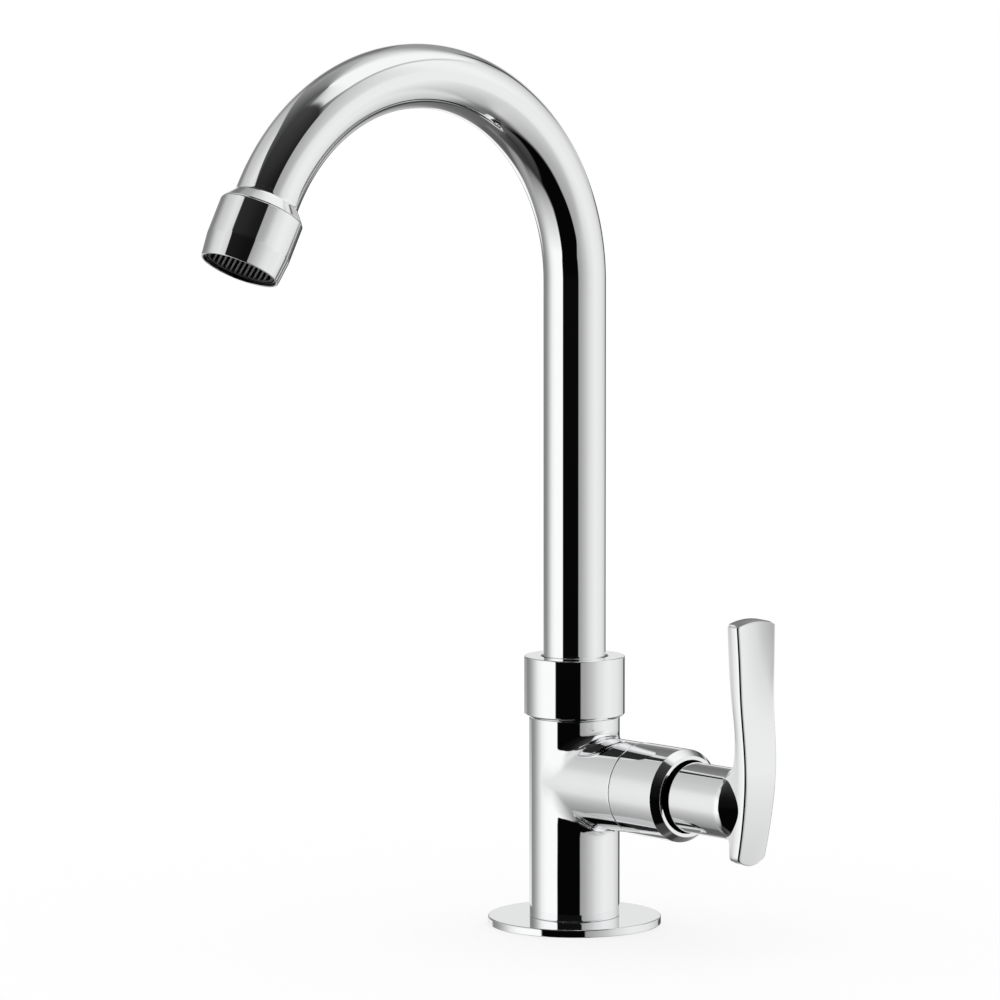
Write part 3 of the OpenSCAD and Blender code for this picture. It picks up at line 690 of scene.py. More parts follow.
FINISHES = {finish.name: finish for finish in (
    Finish("flange_chrome", PLATE, roughness=0.018, spread=0.005, swell=0.008, swell_size=22),
    Finish("body_chrome", PLATE, roughness=0.02, spread=0.006, swell=0.04, swell_size=13),
    Finish("cover_chrome", PLATE, roughness=0.018, spread=0.005, swell=0.006, axis=0, bore=COVER_PAINTED_SHADE),
    Finish("nut_chrome", PLATE, roughness=0.018, spread=0.005, swell=0.008),
    Finish("tube_chrome", PLATE, roughness=0.016, spread=0.005, swell=0.01, swell_size=20),
    Finish("nozzle_chrome", PLATE, roughness=0.018, spread=0.005, swell=0.006),
    Finish("aerator_chrome", PLATE, roughness=0.018, spread=0.005, swell=0.008, bore=MOUTH_PAINTED_SHADE),
    BladeFinish(
        "lever_chrome", PLATE, roughness=0.02, spread=0.006, swell=0.02, swell_size=16, axis=0,
        bore=LEVER_PAINTED_SHADE,
    ),
    Finish("plug_chrome", PLATE, roughness=0.06),
    Finish(
        "shank_brass", BRASS, roughness=0.28, spread=0.08, grain=0.4, relief=0.01, stretch=8, tarnish=0.35
    ),
    Finish("nut_brass", BRASS, roughness=0.3, spread=0.1, grain=0.6, relief=0.02, tarnish=0.3),
    # The cartridge and the spindle are painted dark as shade in the gap round the hub
    Finish(
        "cartridge_brass", BRASS, roughness=0.22, spread=0.06, grain=0.3, relief=0.006, stretch=8, axis=0,
        tarnish=0.12, bore=HUB_GAP_PAINTED_SHADE,
    ),
    Finish(
        "spindle_brass", BRASS, roughness=0.18, spread=0.05, grain=0.3, relief=0.004, stretch=10, axis=0,
        tarnish=0.1, bore=HUB_GAP_PAINTED_SHADE,
    ),
    Finish(
        "foot_brass", BRASS, roughness=0.24, spread=0.07, grain=0.35, relief=0.006, stretch=8, tarnish=0.25
    ),
    Finish(
        "washer_steel", (0.55, 0.56, 0.57), roughness=0.32, spread=0.08, grain=0.5, relief=0.01, tarnish=0.15
    ),
    Finish("clip_steel", (0.4, 0.41, 0.42), roughness=0.3, spread=0.08, tarnish=0.2),
    Finish("screen_steel", (0.5, 0.51, 0.52), roughness=0.3, spread=0.06),
    Finish("screw_steel", (0.1, 0.1, 0.11), roughness=0.4, spread=0.08, tarnish=0.2),
    Finish(
        "ceramic", (0.86, 0.84, 0.79), metallic=0.0, roughness=0.18, spread=0.05, grain=0.2, tarnish=0.03
    ),
    Finish(
        "seal_rubber", (0.022, 0.022, 0.023), metallic=0.0, roughness=0.55, spread=0.1, grain=0.25,
        relief=0.012, tarnish=0.25,
    ),
    Finish(
        "gasket_rubber", (0.024, 0.024, 0.025), metallic=0.0, roughness=0.6, spread=0.1, grain=0.3,
        relief=0.015, tarnish=0.25,
    ),
    Finish(
        "deck_rubber", (0.028, 0.028, 0.029), metallic=0.0, roughness=0.65, spread=0.1, grain=0.35,
        relief=0.02, tarnish=0.3,
    ),
    Finish(
        "slip_plastic", (0.82, 0.8, 0.73), metallic=0.0, roughness=0.4, spread=0.08, grain=0.4,
        relief=0.005, tarnish=0.06,
    ),
    Finish(
        "insert_plastic", (0.03, 0.031, 0.033), metallic=0.0, roughness=0.42, spread=0.08, grain=0.3,
        relief=0.006, tarnish=0.2,
    ),
    Finish(
        "grille_plastic", (0.02, 0.021, 0.022), metallic=0.0, roughness=0.4, spread=0.08, grain=0.3,
        relief=0.006, tarnish=0.2,
    ),
)}


def slot_of(node: str) -> str:
    """Material slot that the record gives a node."""
    return next(part["material_slot"] for part in frame["record"]["subparts"] if part["node"] == node)


def fit_out(piece: bpy.types.Object, node: str, body: Body, mirrored: bool = True) -> None:
    """Dresses a piece that stands for a node, and puts it on its body.

    Args:
        piece: The finished object.
        node: Node that it replaces.
        body: Body that it rides on.
        mirrored: The other pieces reflect it. The floor lets reflections through, so what lies
            under it is left out of them, and so is the lever, as in the photograph.
    """
    slot = slot_of(node)
    piece.data.materials.clear()
    piece.data.materials.append(FINISHES[slot].material())
    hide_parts(node)
    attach(piece, body.value)
    piece.visible_glossy = mirrored
    log.info("%s stands for %s on %s, %d faces", piece.name, node, body.value, len(piece.data.polygons))


# The sub-assemblies


@dataclass
class Flange:
    """Round plate that covers the tap hole, with a recess for its rubber ring."""

    edge: float = 0.45 * MM
    recess_radius: float = 24.05 * MM
    recess_depth: float = 1.2 * MM
    hole_radius: float = 11.3 * MM
    longest: float = 3 * MM
    around: int = 288

    def build(self) -> None:
        """Turns the plate from its outline."""
        low, high = corners_of("base_flange")
        radius, top = -low[0], high[2]
        outline = rounded([
            (radius, low[2], EASED),
            (radius, top, self.edge),
            (self.hole_radius, top, BROKEN),
            (self.hole_radius, self.recess_depth, KEEN),
            (self.recess_radius, self.recess_depth, BROKEN),
            (self.recess_radius, low[2], BROKEN),
        ], steps=8)
        sheet = turned(split_long(outline, self.longest), COLUMN, self.around)
        fit_out(solid("flange_plate", [sheet]), "base_flange", Body.BASE)


@dataclass
class DeckClamp:
    """Threaded shank under the deck with its washers and backnut."""

    clamp_pitch: float = 1.5 * MM
    tail_pitch: float = 1.814 * MM
    thread_depth: float = 0.8 * MM
    thread_steepness: float = 1.3
    crest: float = 0.12
    steps_per_pitch: int = 12
    shank_radius: float = 11.0 * MM
    tail_radius: float = 10.48 * MM
    relief_radius: float = 9.98 * MM
    relief_height: float = 1.2 * MM
    tail_length: float = 13.5 * MM
    bore_radius: float = 7.2 * MM
    chamfer: float = 0.8 * MM
    run: float = 0.05 * MM
    nut_cone: float = 0.2 * MM
    nut_cone_height: float = 1.5 * MM
    nut_cone_slope: float = 2.0
    rubber_edge: float = 0.5 * MM
    steel_edge: float = 0.25 * MM
    shank_around: int = 96
    nut_around: int = 180

    def thread(self, along: np.ndarray, angle: np.ndarray, pitch: float) -> np.ndarray:
        """Depth below the crest of a right-hand thread.

        The phase is the height in pitches less the angle in turns. The depth is a triangle wave of the
        phase, cut flat at crest and root.

        Args:
            along: Heights, as a column.
            angle: Angles round the shank, as a row.
            pitch: Height of one turn.

        Returns:
            Depths in metres, heights by angles.
        """
        phase = np.mod(along / pitch - angle / (2 * np.pi), 1)
        wave = np.abs(2 * phase - 1)
        return self.thread_depth * np.clip(wave * self.thread_steepness - self.crest, 0, 1)

    def stand(self, name: str, node: str, wall: np.ndarray, height: np.ndarray, sharp: float) -> None:
        """Closes a wall of radii by height and angle with a bore, and fits it out.

        Args:
            name: Name of the piece.
            node: Node that it replaces.
            wall: Radii, heights by angles, with the bore's two rows last.
            height: Heights of the outer rows, as a column, from the bottom up.
            sharp: Edges that turn more than this many degrees stay sharp.
        """
        angle = full_turn(wall.shape[1])[None, :]
        along = np.vstack([height, height[-1:], height[:1]])
        points = np.stack([wall * np.cos(angle), wall * np.sin(angle), along + 0 * angle], -1)
        piece = solid(name, [Sheet(points, wrap_rows=True)], sharp)
        fit_out(piece, node, Body.BASE, mirrored=False)

    def shank(self) -> None:
        """Carries the threaded wall up the shank and back down its bore."""
        low, high = corners_of("shank")
        bottom, top = low[2], high[2]
        tail_top = bottom + self.tail_length
        groove = tail_top - self.relief_height
        height = np.arange(bottom, top, self.clamp_pitch / self.steps_per_pitch)
        height = np.append(height, top)[:, None]
        angle = full_turn(self.shank_around)[None, :]
        tail = self.tail_radius - self.thread(height, angle, self.tail_pitch)
        clamp = self.shank_radius - self.thread(height, angle, self.clamp_pitch)
        radius = np.where(height < groove, tail, np.where(height < tail_top, self.relief_radius, clamp))
        ease = np.minimum(height - bottom, top - height) + self.relief_radius - self.chamfer
        radius = np.minimum(radius, ease)
        wall = np.vstack([radius, np.full((2, self.shank_around), self.bore_radius)])
        self.stand("threaded_shank", "shank", wall, height, sharp=60)

    def backnut(self) -> None:
        """Hexagon with chamfered ends.

        The radius is the lesser of a hexagon's, which is half the flats over the cosine of the angle
        from the middle of the flat, and a cone's that falls away from each end.
        """
        low, high = corners_of("backnut")
        half_flats = high[1]
        from_flat = np.mod(full_turn(self.nut_around)[None, :], np.pi / 3) - np.pi / 6
        hexagon = half_flats / np.cos(from_flat)
        rise = np.linspace(0, self.nut_cone_height, 6)
        height = np.concatenate([low[2] + rise, high[2] - rise[::-1]])[:, None]
        from_end = np.minimum(height - low[2], high[2] - height)
        outer = np.minimum(hexagon, half_flats - self.nut_cone + from_end * self.nut_cone_slope)
        wall = np.vstack([outer, np.full((2, self.nut_around), self.shank_radius + self.run)])
        self.stand("hex_backnut", "backnut", wall, height, sharp=20)

    def washer(self, name: str, node: str, edge: float) -> None:
        """Turns a flat washer with rounded edges.

        Args:
            name: Name of the piece.
            node: Node that it replaces.
            edge: Radius of its edges.
        """
        low, high = corners_of(node)
        outline = ring_outline(high[0], self.shank_radius + self.run, low[2], high[2], edge)
        fit_out(solid(name, [turned(outline, COLUMN, around=144)]), node, Body.BASE, mirrored=False)

    def build(self) -> None:
        """Builds the clamp from the top down."""
        self.washer("rubber_washer", "deck_washer", self.rubber_edge)
        self.washer("steel_washer", "clamp_washer", self.steel_edge)
        self.backnut()
        self.shank()


@dataclass
class Casting:
    """Upright body with its branch: one casting with soft inner corners."""

    foot_edge: float = 0.35 * MM
    neck_radius: float = 13.6 * MM
    shoulder: float = 67.6 * MM
    seam: float = 32.3 * MM
    seam_edge: float = 0.4 * MM
    thread_radius: float = 12.85 * MM
    crotch: float = 2.8 * MM
    blend: float = 5.0 * MM
    socket_radius: float = 9.5 * MM
    socket_floor: float = 60.4 * MM
    shank_radius: float = 11.05 * MM
    shank_roof: float = 18.0 * MM
    seat_place: float = 7.0 * MM
    chamber_radius: float = 9.9 * MM
    cartridge_radius: float = 10.53 * MM
    cartridge_start: float = 26.0 * MM
    seal_radius: float = 11.97 * MM
    seal_start: float = 37.5 * MM
    inlet_radius: float = 5.5 * MM
    inlet_back: float = 3.0 * MM
    seat_radius: float = 4.8 * MM
    chamfer: float = 0.3 * MM
    vanish: float = 0.12
    line_count: int = 113
    back_count: int = 97
    straight_steps: int = 15
    corner_steps: int = 13

    def end_profile(self, radius: float, edge: float, step_radius: float, reach: float) -> np.ndarray:
        """Outline of an end of the casting, from the middle of its stub out to the casting's side.

        The side and the end meet in a quarter round: inset by edge (1 - sin a) and sunk by
        edge (1 - cos a).

        Args:
            radius: Radius of the casting's side.
            edge: Radius of the quarter round.
            step_radius: Radius of the stub.
            reach: How far the stub stands out.

        Returns:
            Points (radius, distance past the end).
        """
        turn = np.linspace(0, np.pi / 2, 5)
        side = np.stack([radius - edge * (1 - np.sin(turn)), -edge * (1 - np.cos(turn))], -1)
        inner = step_radius - self.chamfer
        stub = [(0, reach), (inner, reach), (step_radius, reach - self.chamfer), (step_radius, 0)]
        return np.vstack([stub, [(radius - 2 * edge, 0)], side, [(radius, -2 * edge)]])

    def turns(self) -> np.ndarray:
        """Angles of the lines, from front to back, closest together at both ends."""
        return np.pi / 2 * np.sin(np.linspace(-np.pi / 2, np.pi / 2, self.line_count))[:, None]

    def lines(self, radius: float, upper: bool, low: float, top: float) -> np.ndarray:
        """Lines that run along the column, round the inner corner and out along the branch.

        Each line lies in a plane y = r sin t. Its corner is at x = r cos t, where the two equal
        cylinders meet, and a quarter circle rounds it. The radius of that circle goes from the crotch
        to the blend with the square of sin t, because the walls meet ever flatter towards the front,
        and vanishes at the front itself as tanh of cos t.

        Args:
            radius: Radius of the column and the branch.
            upper: Lines above the branch, or those below it.
            low: Height where the lower lines start.
            top: Height where the upper lines start.

        Returns:
            Array of lines by points by three.
        """
        turn = self.turns()
        meet = radius * np.cos(turn)
        cut = self.crotch + (self.blend - self.crotch) * np.sin(turn) ** 2
        cut = cut * np.tanh(np.cos(turn) / self.vanish)
        share = np.linspace(0, 1, self.straight_steps)[None, :]
        end = (top - BRANCH_HEIGHT) if upper else (BRANCH_HEIGHT - low)
        column_rise = end + (meet + cut - end) * share
        column_x = meet + 0 * share
        arc = np.linspace(0, np.pi / 2, self.corner_steps)[None, 1:-1]
        arc_x = meet + cut * (1 - np.cos(arc))
        arc_rise = meet + cut * (1 - np.sin(arc))
        branch_x = (meet + cut) + (self.seam - 2 * self.seam_edge - meet - cut) * share
        branch_rise = meet + 0 * share
        x = np.hstack([column_x, arc_x, branch_x])
        rise = np.hstack([column_rise, arc_rise, branch_rise])
        z = BRANCH_HEIGHT + (rise if upper else -rise)
        return np.stack([x, radius * np.sin(turn) + 0 * x, z], -1)

    def skin(self) -> list[Sheet]:
        """Outer skin: front lines above and below the branch, plain back lines, and the closed ends.

        Returns:
            Four sheets that close the surface between them.
        """
        low, high = corners_of("body")
        radius = high[1]
        foot = low[2]
        top_end = self.end_profile(radius, self.foot_edge, self.neck_radius, high[2] - self.shoulder)
        foot_end = self.end_profile(radius, self.foot_edge, radius - 3 * self.foot_edge, 0)
        seam_end = self.end_profile(radius, self.seam_edge, self.thread_radius, high[0] - self.seam)
        front = self.turns()
        sheets = []
        for upper in (True, False):
            profile = top_end if upper else foot_end
            sign = 1 if upper else -1
            level = self.shoulder if upper else foot
            line_low, line_top = foot + 2 * self.foot_edge, self.shoulder - 2 * self.foot_edge
            run = self.lines(radius, upper, line_low, line_top)
            heights = level + sign * profile[:, 1]
            cap = np.stack([
                profile[:, 0] * np.cos(front), profile[:, 0] * np.sin(front), heights + 0 * front,
            ], -1)
            end = np.stack([
                self.seam + seam_end[::-1, 1] + 0 * front,
                seam_end[::-1, 0] * np.sin(front),
                BRANCH_HEIGHT + sign * seam_end[::-1, 0] * np.cos(front),
            ], -1)
            sheets.append(Sheet(np.concatenate([cap[:, :-1], run, end[:, 1:]], 1), wrap_columns=False))
            behind = np.linspace(np.pi / 2, 3 * np.pi / 2, self.back_count)[:, None]
            plain = np.stack([
                profile[:, 0] * np.cos(behind), profile[:, 0] * np.sin(behind), heights + 0 * behind,
            ], -1)
            edge_heights = run[0, :self.straight_steps, 2][None, :]
            wall = np.stack([
                radius * np.cos(behind) + 0 * edge_heights,
                radius * np.sin(behind) + 0 * edge_heights,
                edge_heights + 0 * behind,
            ], -1)
            sheets.append(Sheet(np.concatenate([plain[:, :-1], wall], 1), wrap_columns=False))
        return sheets

    def build(self) -> None:
        """Makes the skin and cuts the sockets and water ways out of it."""
        low, high = corners_of("body")
        over = 1 * MM
        piece = solid("cast_body", self.skin())
        shank_hole = rod("shank_hole", COLUMN, self.shank_radius, low[2] - over, self.shank_roof)
        spout_socket = rod("spout_socket", COLUMN, self.socket_radius, self.socket_floor, high[2] + over)
        chamber = np.array([
            (0, self.seat_place),
            (self.chamber_radius, self.seat_place),
            (self.chamber_radius, self.cartridge_start),
            (self.cartridge_radius, self.cartridge_start),
            (self.cartridge_radius, self.seal_start),
            (self.seal_radius, self.seal_start),
            (self.seal_radius, high[0] + over),
            (0, high[0] + over),
        ])
        chamber_hole = solid("chamber_hole", [turned(chamber, BRANCH, around=96, closed=False)])
        inlet_axis = Axis((-self.inlet_back, 0, 0), COLUMN.basis)
        inlet = rod("inlet_hole", inlet_axis, self.inlet_radius, self.shank_roof - over, BRANCH_HEIGHT)
        seat = rod("seat_hole", BRANCH, self.seat_radius, -self.inlet_back, self.seat_place + over)
        for cutter in (shank_hole, spout_socket, chamber_hole, inlet, seat):
            fold(piece, cutter, Fold.CUT)
        fit_out(piece, "body", Body.BASE)


@dataclass
class CartridgeCover:
    """Turned cover that screws on the branch, with a coned end."""

    straight_end: float = 51.7 * MM
    nose_radius: float = 12.85 * MM
    hole_radius: float = 11.7 * MM
    bore_radius: float = 12.9 * MM
    ledge: float = 1.0 * MM
    edge: float = 0.4 * MM
    nose_edge: float = 0.15 * MM
    longest: float = 3 * MM
    around: int = 224

    def build(self) -> None:
        """Turns the cover from its outline."""
        low, high = corners_of("cartridge_cover")
        outline = rounded([
            (self.bore_radius, low[0], BROKEN),
            (high[1], low[0], self.edge),
            (high[1], self.straight_end, self.edge),
            (self.nose_radius, high[0], self.nose_edge),
            (self.hole_radius, high[0], BROKEN),
            (self.hole_radius, self.straight_end - self.ledge, KEEN),
            (self.bore_radius, self.straight_end - self.ledge, KEEN),
        ])
        sheet = turned(split_long(outline, self.longest), BRANCH, self.around)
        fit_out(solid("turned_cover", [sheet]), "cartridge_cover", Body.BASE)


@dataclass
class SpoutNut:
    """Round nut on top of the body, with a lip round the tube."""

    bottom_edge: float = 0.5 * MM
    bore_radius: float = 13.65 * MM
    hole_radius: float = 10.8 * MM
    lip: float = 2.0 * MM
    foot_round: float = 0.15 * MM
    side_round: float = 0.4 * MM
    top_round: float = 0.45 * MM
    hole_round: float = 0.35 * MM
    longest: float = 3 * MM
    around: int = 224

    def build(self) -> None:
        """Turns the nut from its outline."""
        low, high = corners_of("spout_nut")
        radius, bottom, top = high[0], low[2], high[2]
        outline = rounded([
            (self.bore_radius, bottom, self.foot_round),
            (radius - self.bottom_edge, bottom, self.foot_round),
            (radius, bottom + self.bottom_edge, self.side_round),
            (radius, top, self.top_round),
            (self.hole_radius, top, self.hole_round),
            (self.hole_radius, top - self.lip, BROKEN),
            (self.bore_radius, top - self.lip, BROKEN),
        ], steps=8)
        sheet = turned(split_long(outline, self.longest), COLUMN, self.around)
        fit_out(solid("turned_nut", [sheet]), "spout_nut", Body.BASE)


@dataclass
class SwanNeck:
    """Bent spout tube and the nozzle at its end."""

    wall: float = 1.0 * MM
    neck: float = 1.4 * MM
    cone_end: float = 5.1 * MM
    cone_radius: float = 13.0 * MM
    neck_fillet: float = 1.6 * MM
    thread_radius: float = 11.65 * MM
    thread_end: float = 12.9 * MM
    spigot_radius: float = 8.8 * MM
    spigot_length: float = 2.5 * MM
    bore_radius: float = 7.6 * MM
    seam: float = 0.02 * MM
    cone_edge: float = 0.15 * MM
    thread_edge: float = 0.3 * MM
    longest: float = 1.5 * MM
    around: int = 192

    def tube(self, column_steps: int = 59, bend_steps: int = 219, around: int = 144) -> None:
        """Carries a circle up the column and round the bend, outside wall up and inside wall back.

        A station is a distance along the path. Up to the bend its centre rises, and past it the
        centre and the circle's own frame turn about the bend's axis by distance over bend radius.

        Args:
            column_steps: Steps up the column.
            bend_steps: Steps round the bend.
            around: Steps round the tube.
        """
        low = corners_of("spout_tube")[0][2]
        rise = BEND_HEIGHT - low
        column = np.linspace(0, rise, column_steps + 1)[:-1]
        bend = rise + np.linspace(0, BEND_RADIUS * BEND_ANGLE, bend_steps + 1)
        station = np.concatenate([column, bend])
        radius = np.full(station.size, TUBE_RADIUS)
        station = np.concatenate([station, station[::-1]])[:, None]
        radius = np.concatenate([radius, radius - self.wall])[:, None]
        turn = np.maximum(station - rise, 0) / BEND_RADIUS
        height = low + np.minimum(station, rise)
        angle = full_turn(around)[None, :]
        reach = BEND_RADIUS + radius * np.cos(angle)
        x = radius * np.sin(angle)
        y = reach * np.cos(turn) - BEND_RADIUS
        z = height + reach * np.sin(turn)
        points = np.stack([x + 0 * station, y, z], -1)
        piece = solid("bent_tube", [Sheet(points, wrap_rows=True)], sharp=60)
        fit_out(piece, "spout_tube", Body.SPOUT)

    def nozzle(self) -> None:
        """Turns the nozzle: spigot, neck, cone and thread, with its bore."""
        outline = rounded([
            (self.bore_radius, -self.spigot_length, BROKEN),
            (self.spigot_radius, -self.spigot_length, EASED),
            (self.spigot_radius, 0, self.seam),
            (TUBE_RADIUS, 0, self.seam),
            (TUBE_RADIUS, self.neck, self.neck_fillet),
            (self.cone_radius, self.cone_end, self.cone_edge),
            (self.thread_radius, self.cone_end, BROKEN),
            (self.thread_radius, self.thread_end, self.thread_edge),
            (self.bore_radius, self.thread_end, EASED),
        ], steps=8)
        sheet = turned(split_long(outline, self.longest), OUTLET, self.around)
        fit_out(solid("coned_nozzle", [sheet]), "outlet_nozzle", Body.SPOUT)

    def build(self) -> None:
        """Builds the tube and the nozzle."""
        self.tube()
        self.nozzle()


@dataclass
class Aerator:
    """Chrome sleeve at the mouth of the spout and the grille inside it."""

    start: float = 5.3 * MM
    straight_end: float = 17.3 * MM
    end: float = 24.6 * MM
    top_radius: float = 13.2 * MM
    mouth_radius: float = 12.4 * MM
    bore_radius: float = 11.7 * MM
    hole_radius: float = 10.9 * MM
    step_radius: float = 11.8 * MM
    step: float = 0.7 * MM
    lip: float = 2.3 * MM
    grille_recess: float = 0.9 * MM
    grille_depth: float = 3.0 * MM
    grille_radius: float = 10.75 * MM
    rim: float = 1.0 * MM
    bar_pitch: float = 1.5 * MM
    bar_width: float = 0.7 * MM
    bar_turn: float = math.radians(34)
    bar_round: float = 0.25 * MM
    taper_round: float = 12 * MM
    top_edge: float = 0.3 * MM
    mouth_edge: float = 0.15 * MM
    longest: float = 2 * MM
    around: int = 224
    rim_around: int = 144

    def span(self) -> tuple[float, float]:
        """Where the grille starts and ends along the outlet."""
        return self.end - self.grille_recess - self.grille_depth, self.end - self.grille_recess

    def shell(self) -> None:
        """Turns the sleeve from its outline."""
        outline = rounded([
            (self.bore_radius, self.start, BROKEN),
            (self.top_radius, self.start, self.top_edge),
            (self.top_radius, self.straight_end, self.taper_round),
            (self.mouth_radius, self.end, EASED),
            (self.step_radius, self.end, self.mouth_edge),
            (self.step_radius, self.end - self.step, KEEN),
            (self.hole_radius, self.end - self.step, EASED),
            (self.hole_radius, self.end - self.lip, BROKEN),
            (self.bore_radius, self.end - self.lip, BROKEN),
        ], steps=8)
        sheet = turned(split_long(outline, self.longest), OUTLET, self.around)
        fit_out(solid("aerator_sleeve", [sheet]), "aerator_shell", Body.SPOUT)

    def bar(self, place: float) -> Sheet:
        """One bar of the grille: a rounded rectangle carried along its chord of the rim's circle.

        The chord stands at the bars' angle: (along, across) is turned by it about the outlet's axis.

        Args:
            place: Distance of the bar's middle from the outlet's axis.

        Returns:
            The bar, closed at both ends.
        """
        half = self.bar_width / 2
        low, high = self.span()
        section = rounded([
            (place - half, low, KEEN),
            (place + half, low, KEEN),
            (place + half, high, self.bar_round),
            (place - half, high, self.bar_round),
        ], steps=4)
        inner = self.grille_radius - self.rim / 2
        reach = math.sqrt(inner**2 - (abs(place) + half) ** 2)
        middle = section.mean(0)
        along = np.array([-reach, -reach, -reach / 2, 0, reach / 2, reach, reach])[:, None]
        size = np.array([0, 1, 1, 1, 1, 1, 0])[:, None]
        across = middle[0] + (section[:, 0] - middle[0]) * size
        depth = middle[1] + (section[:, 1] - middle[1]) * size
        cos, sin = math.cos(self.bar_turn), math.sin(self.bar_turn)
        x, y = along * cos - across * sin, along * sin + across * cos
        return Sheet(OUTLET.place(np.stack([x, y, depth], -1)))

    def grille(self) -> None:
        """Rim of the grille and its parallel bars."""
        rim = ring_outline(self.grille_radius, self.grille_radius - self.rim, *self.span(), EASED)
        count = int((self.grille_radius - self.rim) // self.bar_pitch)
        bars = [self.bar((i + 0.5) * self.bar_pitch) for i in range(-count, count)]
        piece = solid("barred_grille", [turned(rim, OUTLET, self.rim_around), *bars])
        fit_out(piece, "aerator_grille", Body.SPOUT)

    def build(self) -> None:
        """Builds the sleeve and the grille."""
        self.shell()
        self.grille()


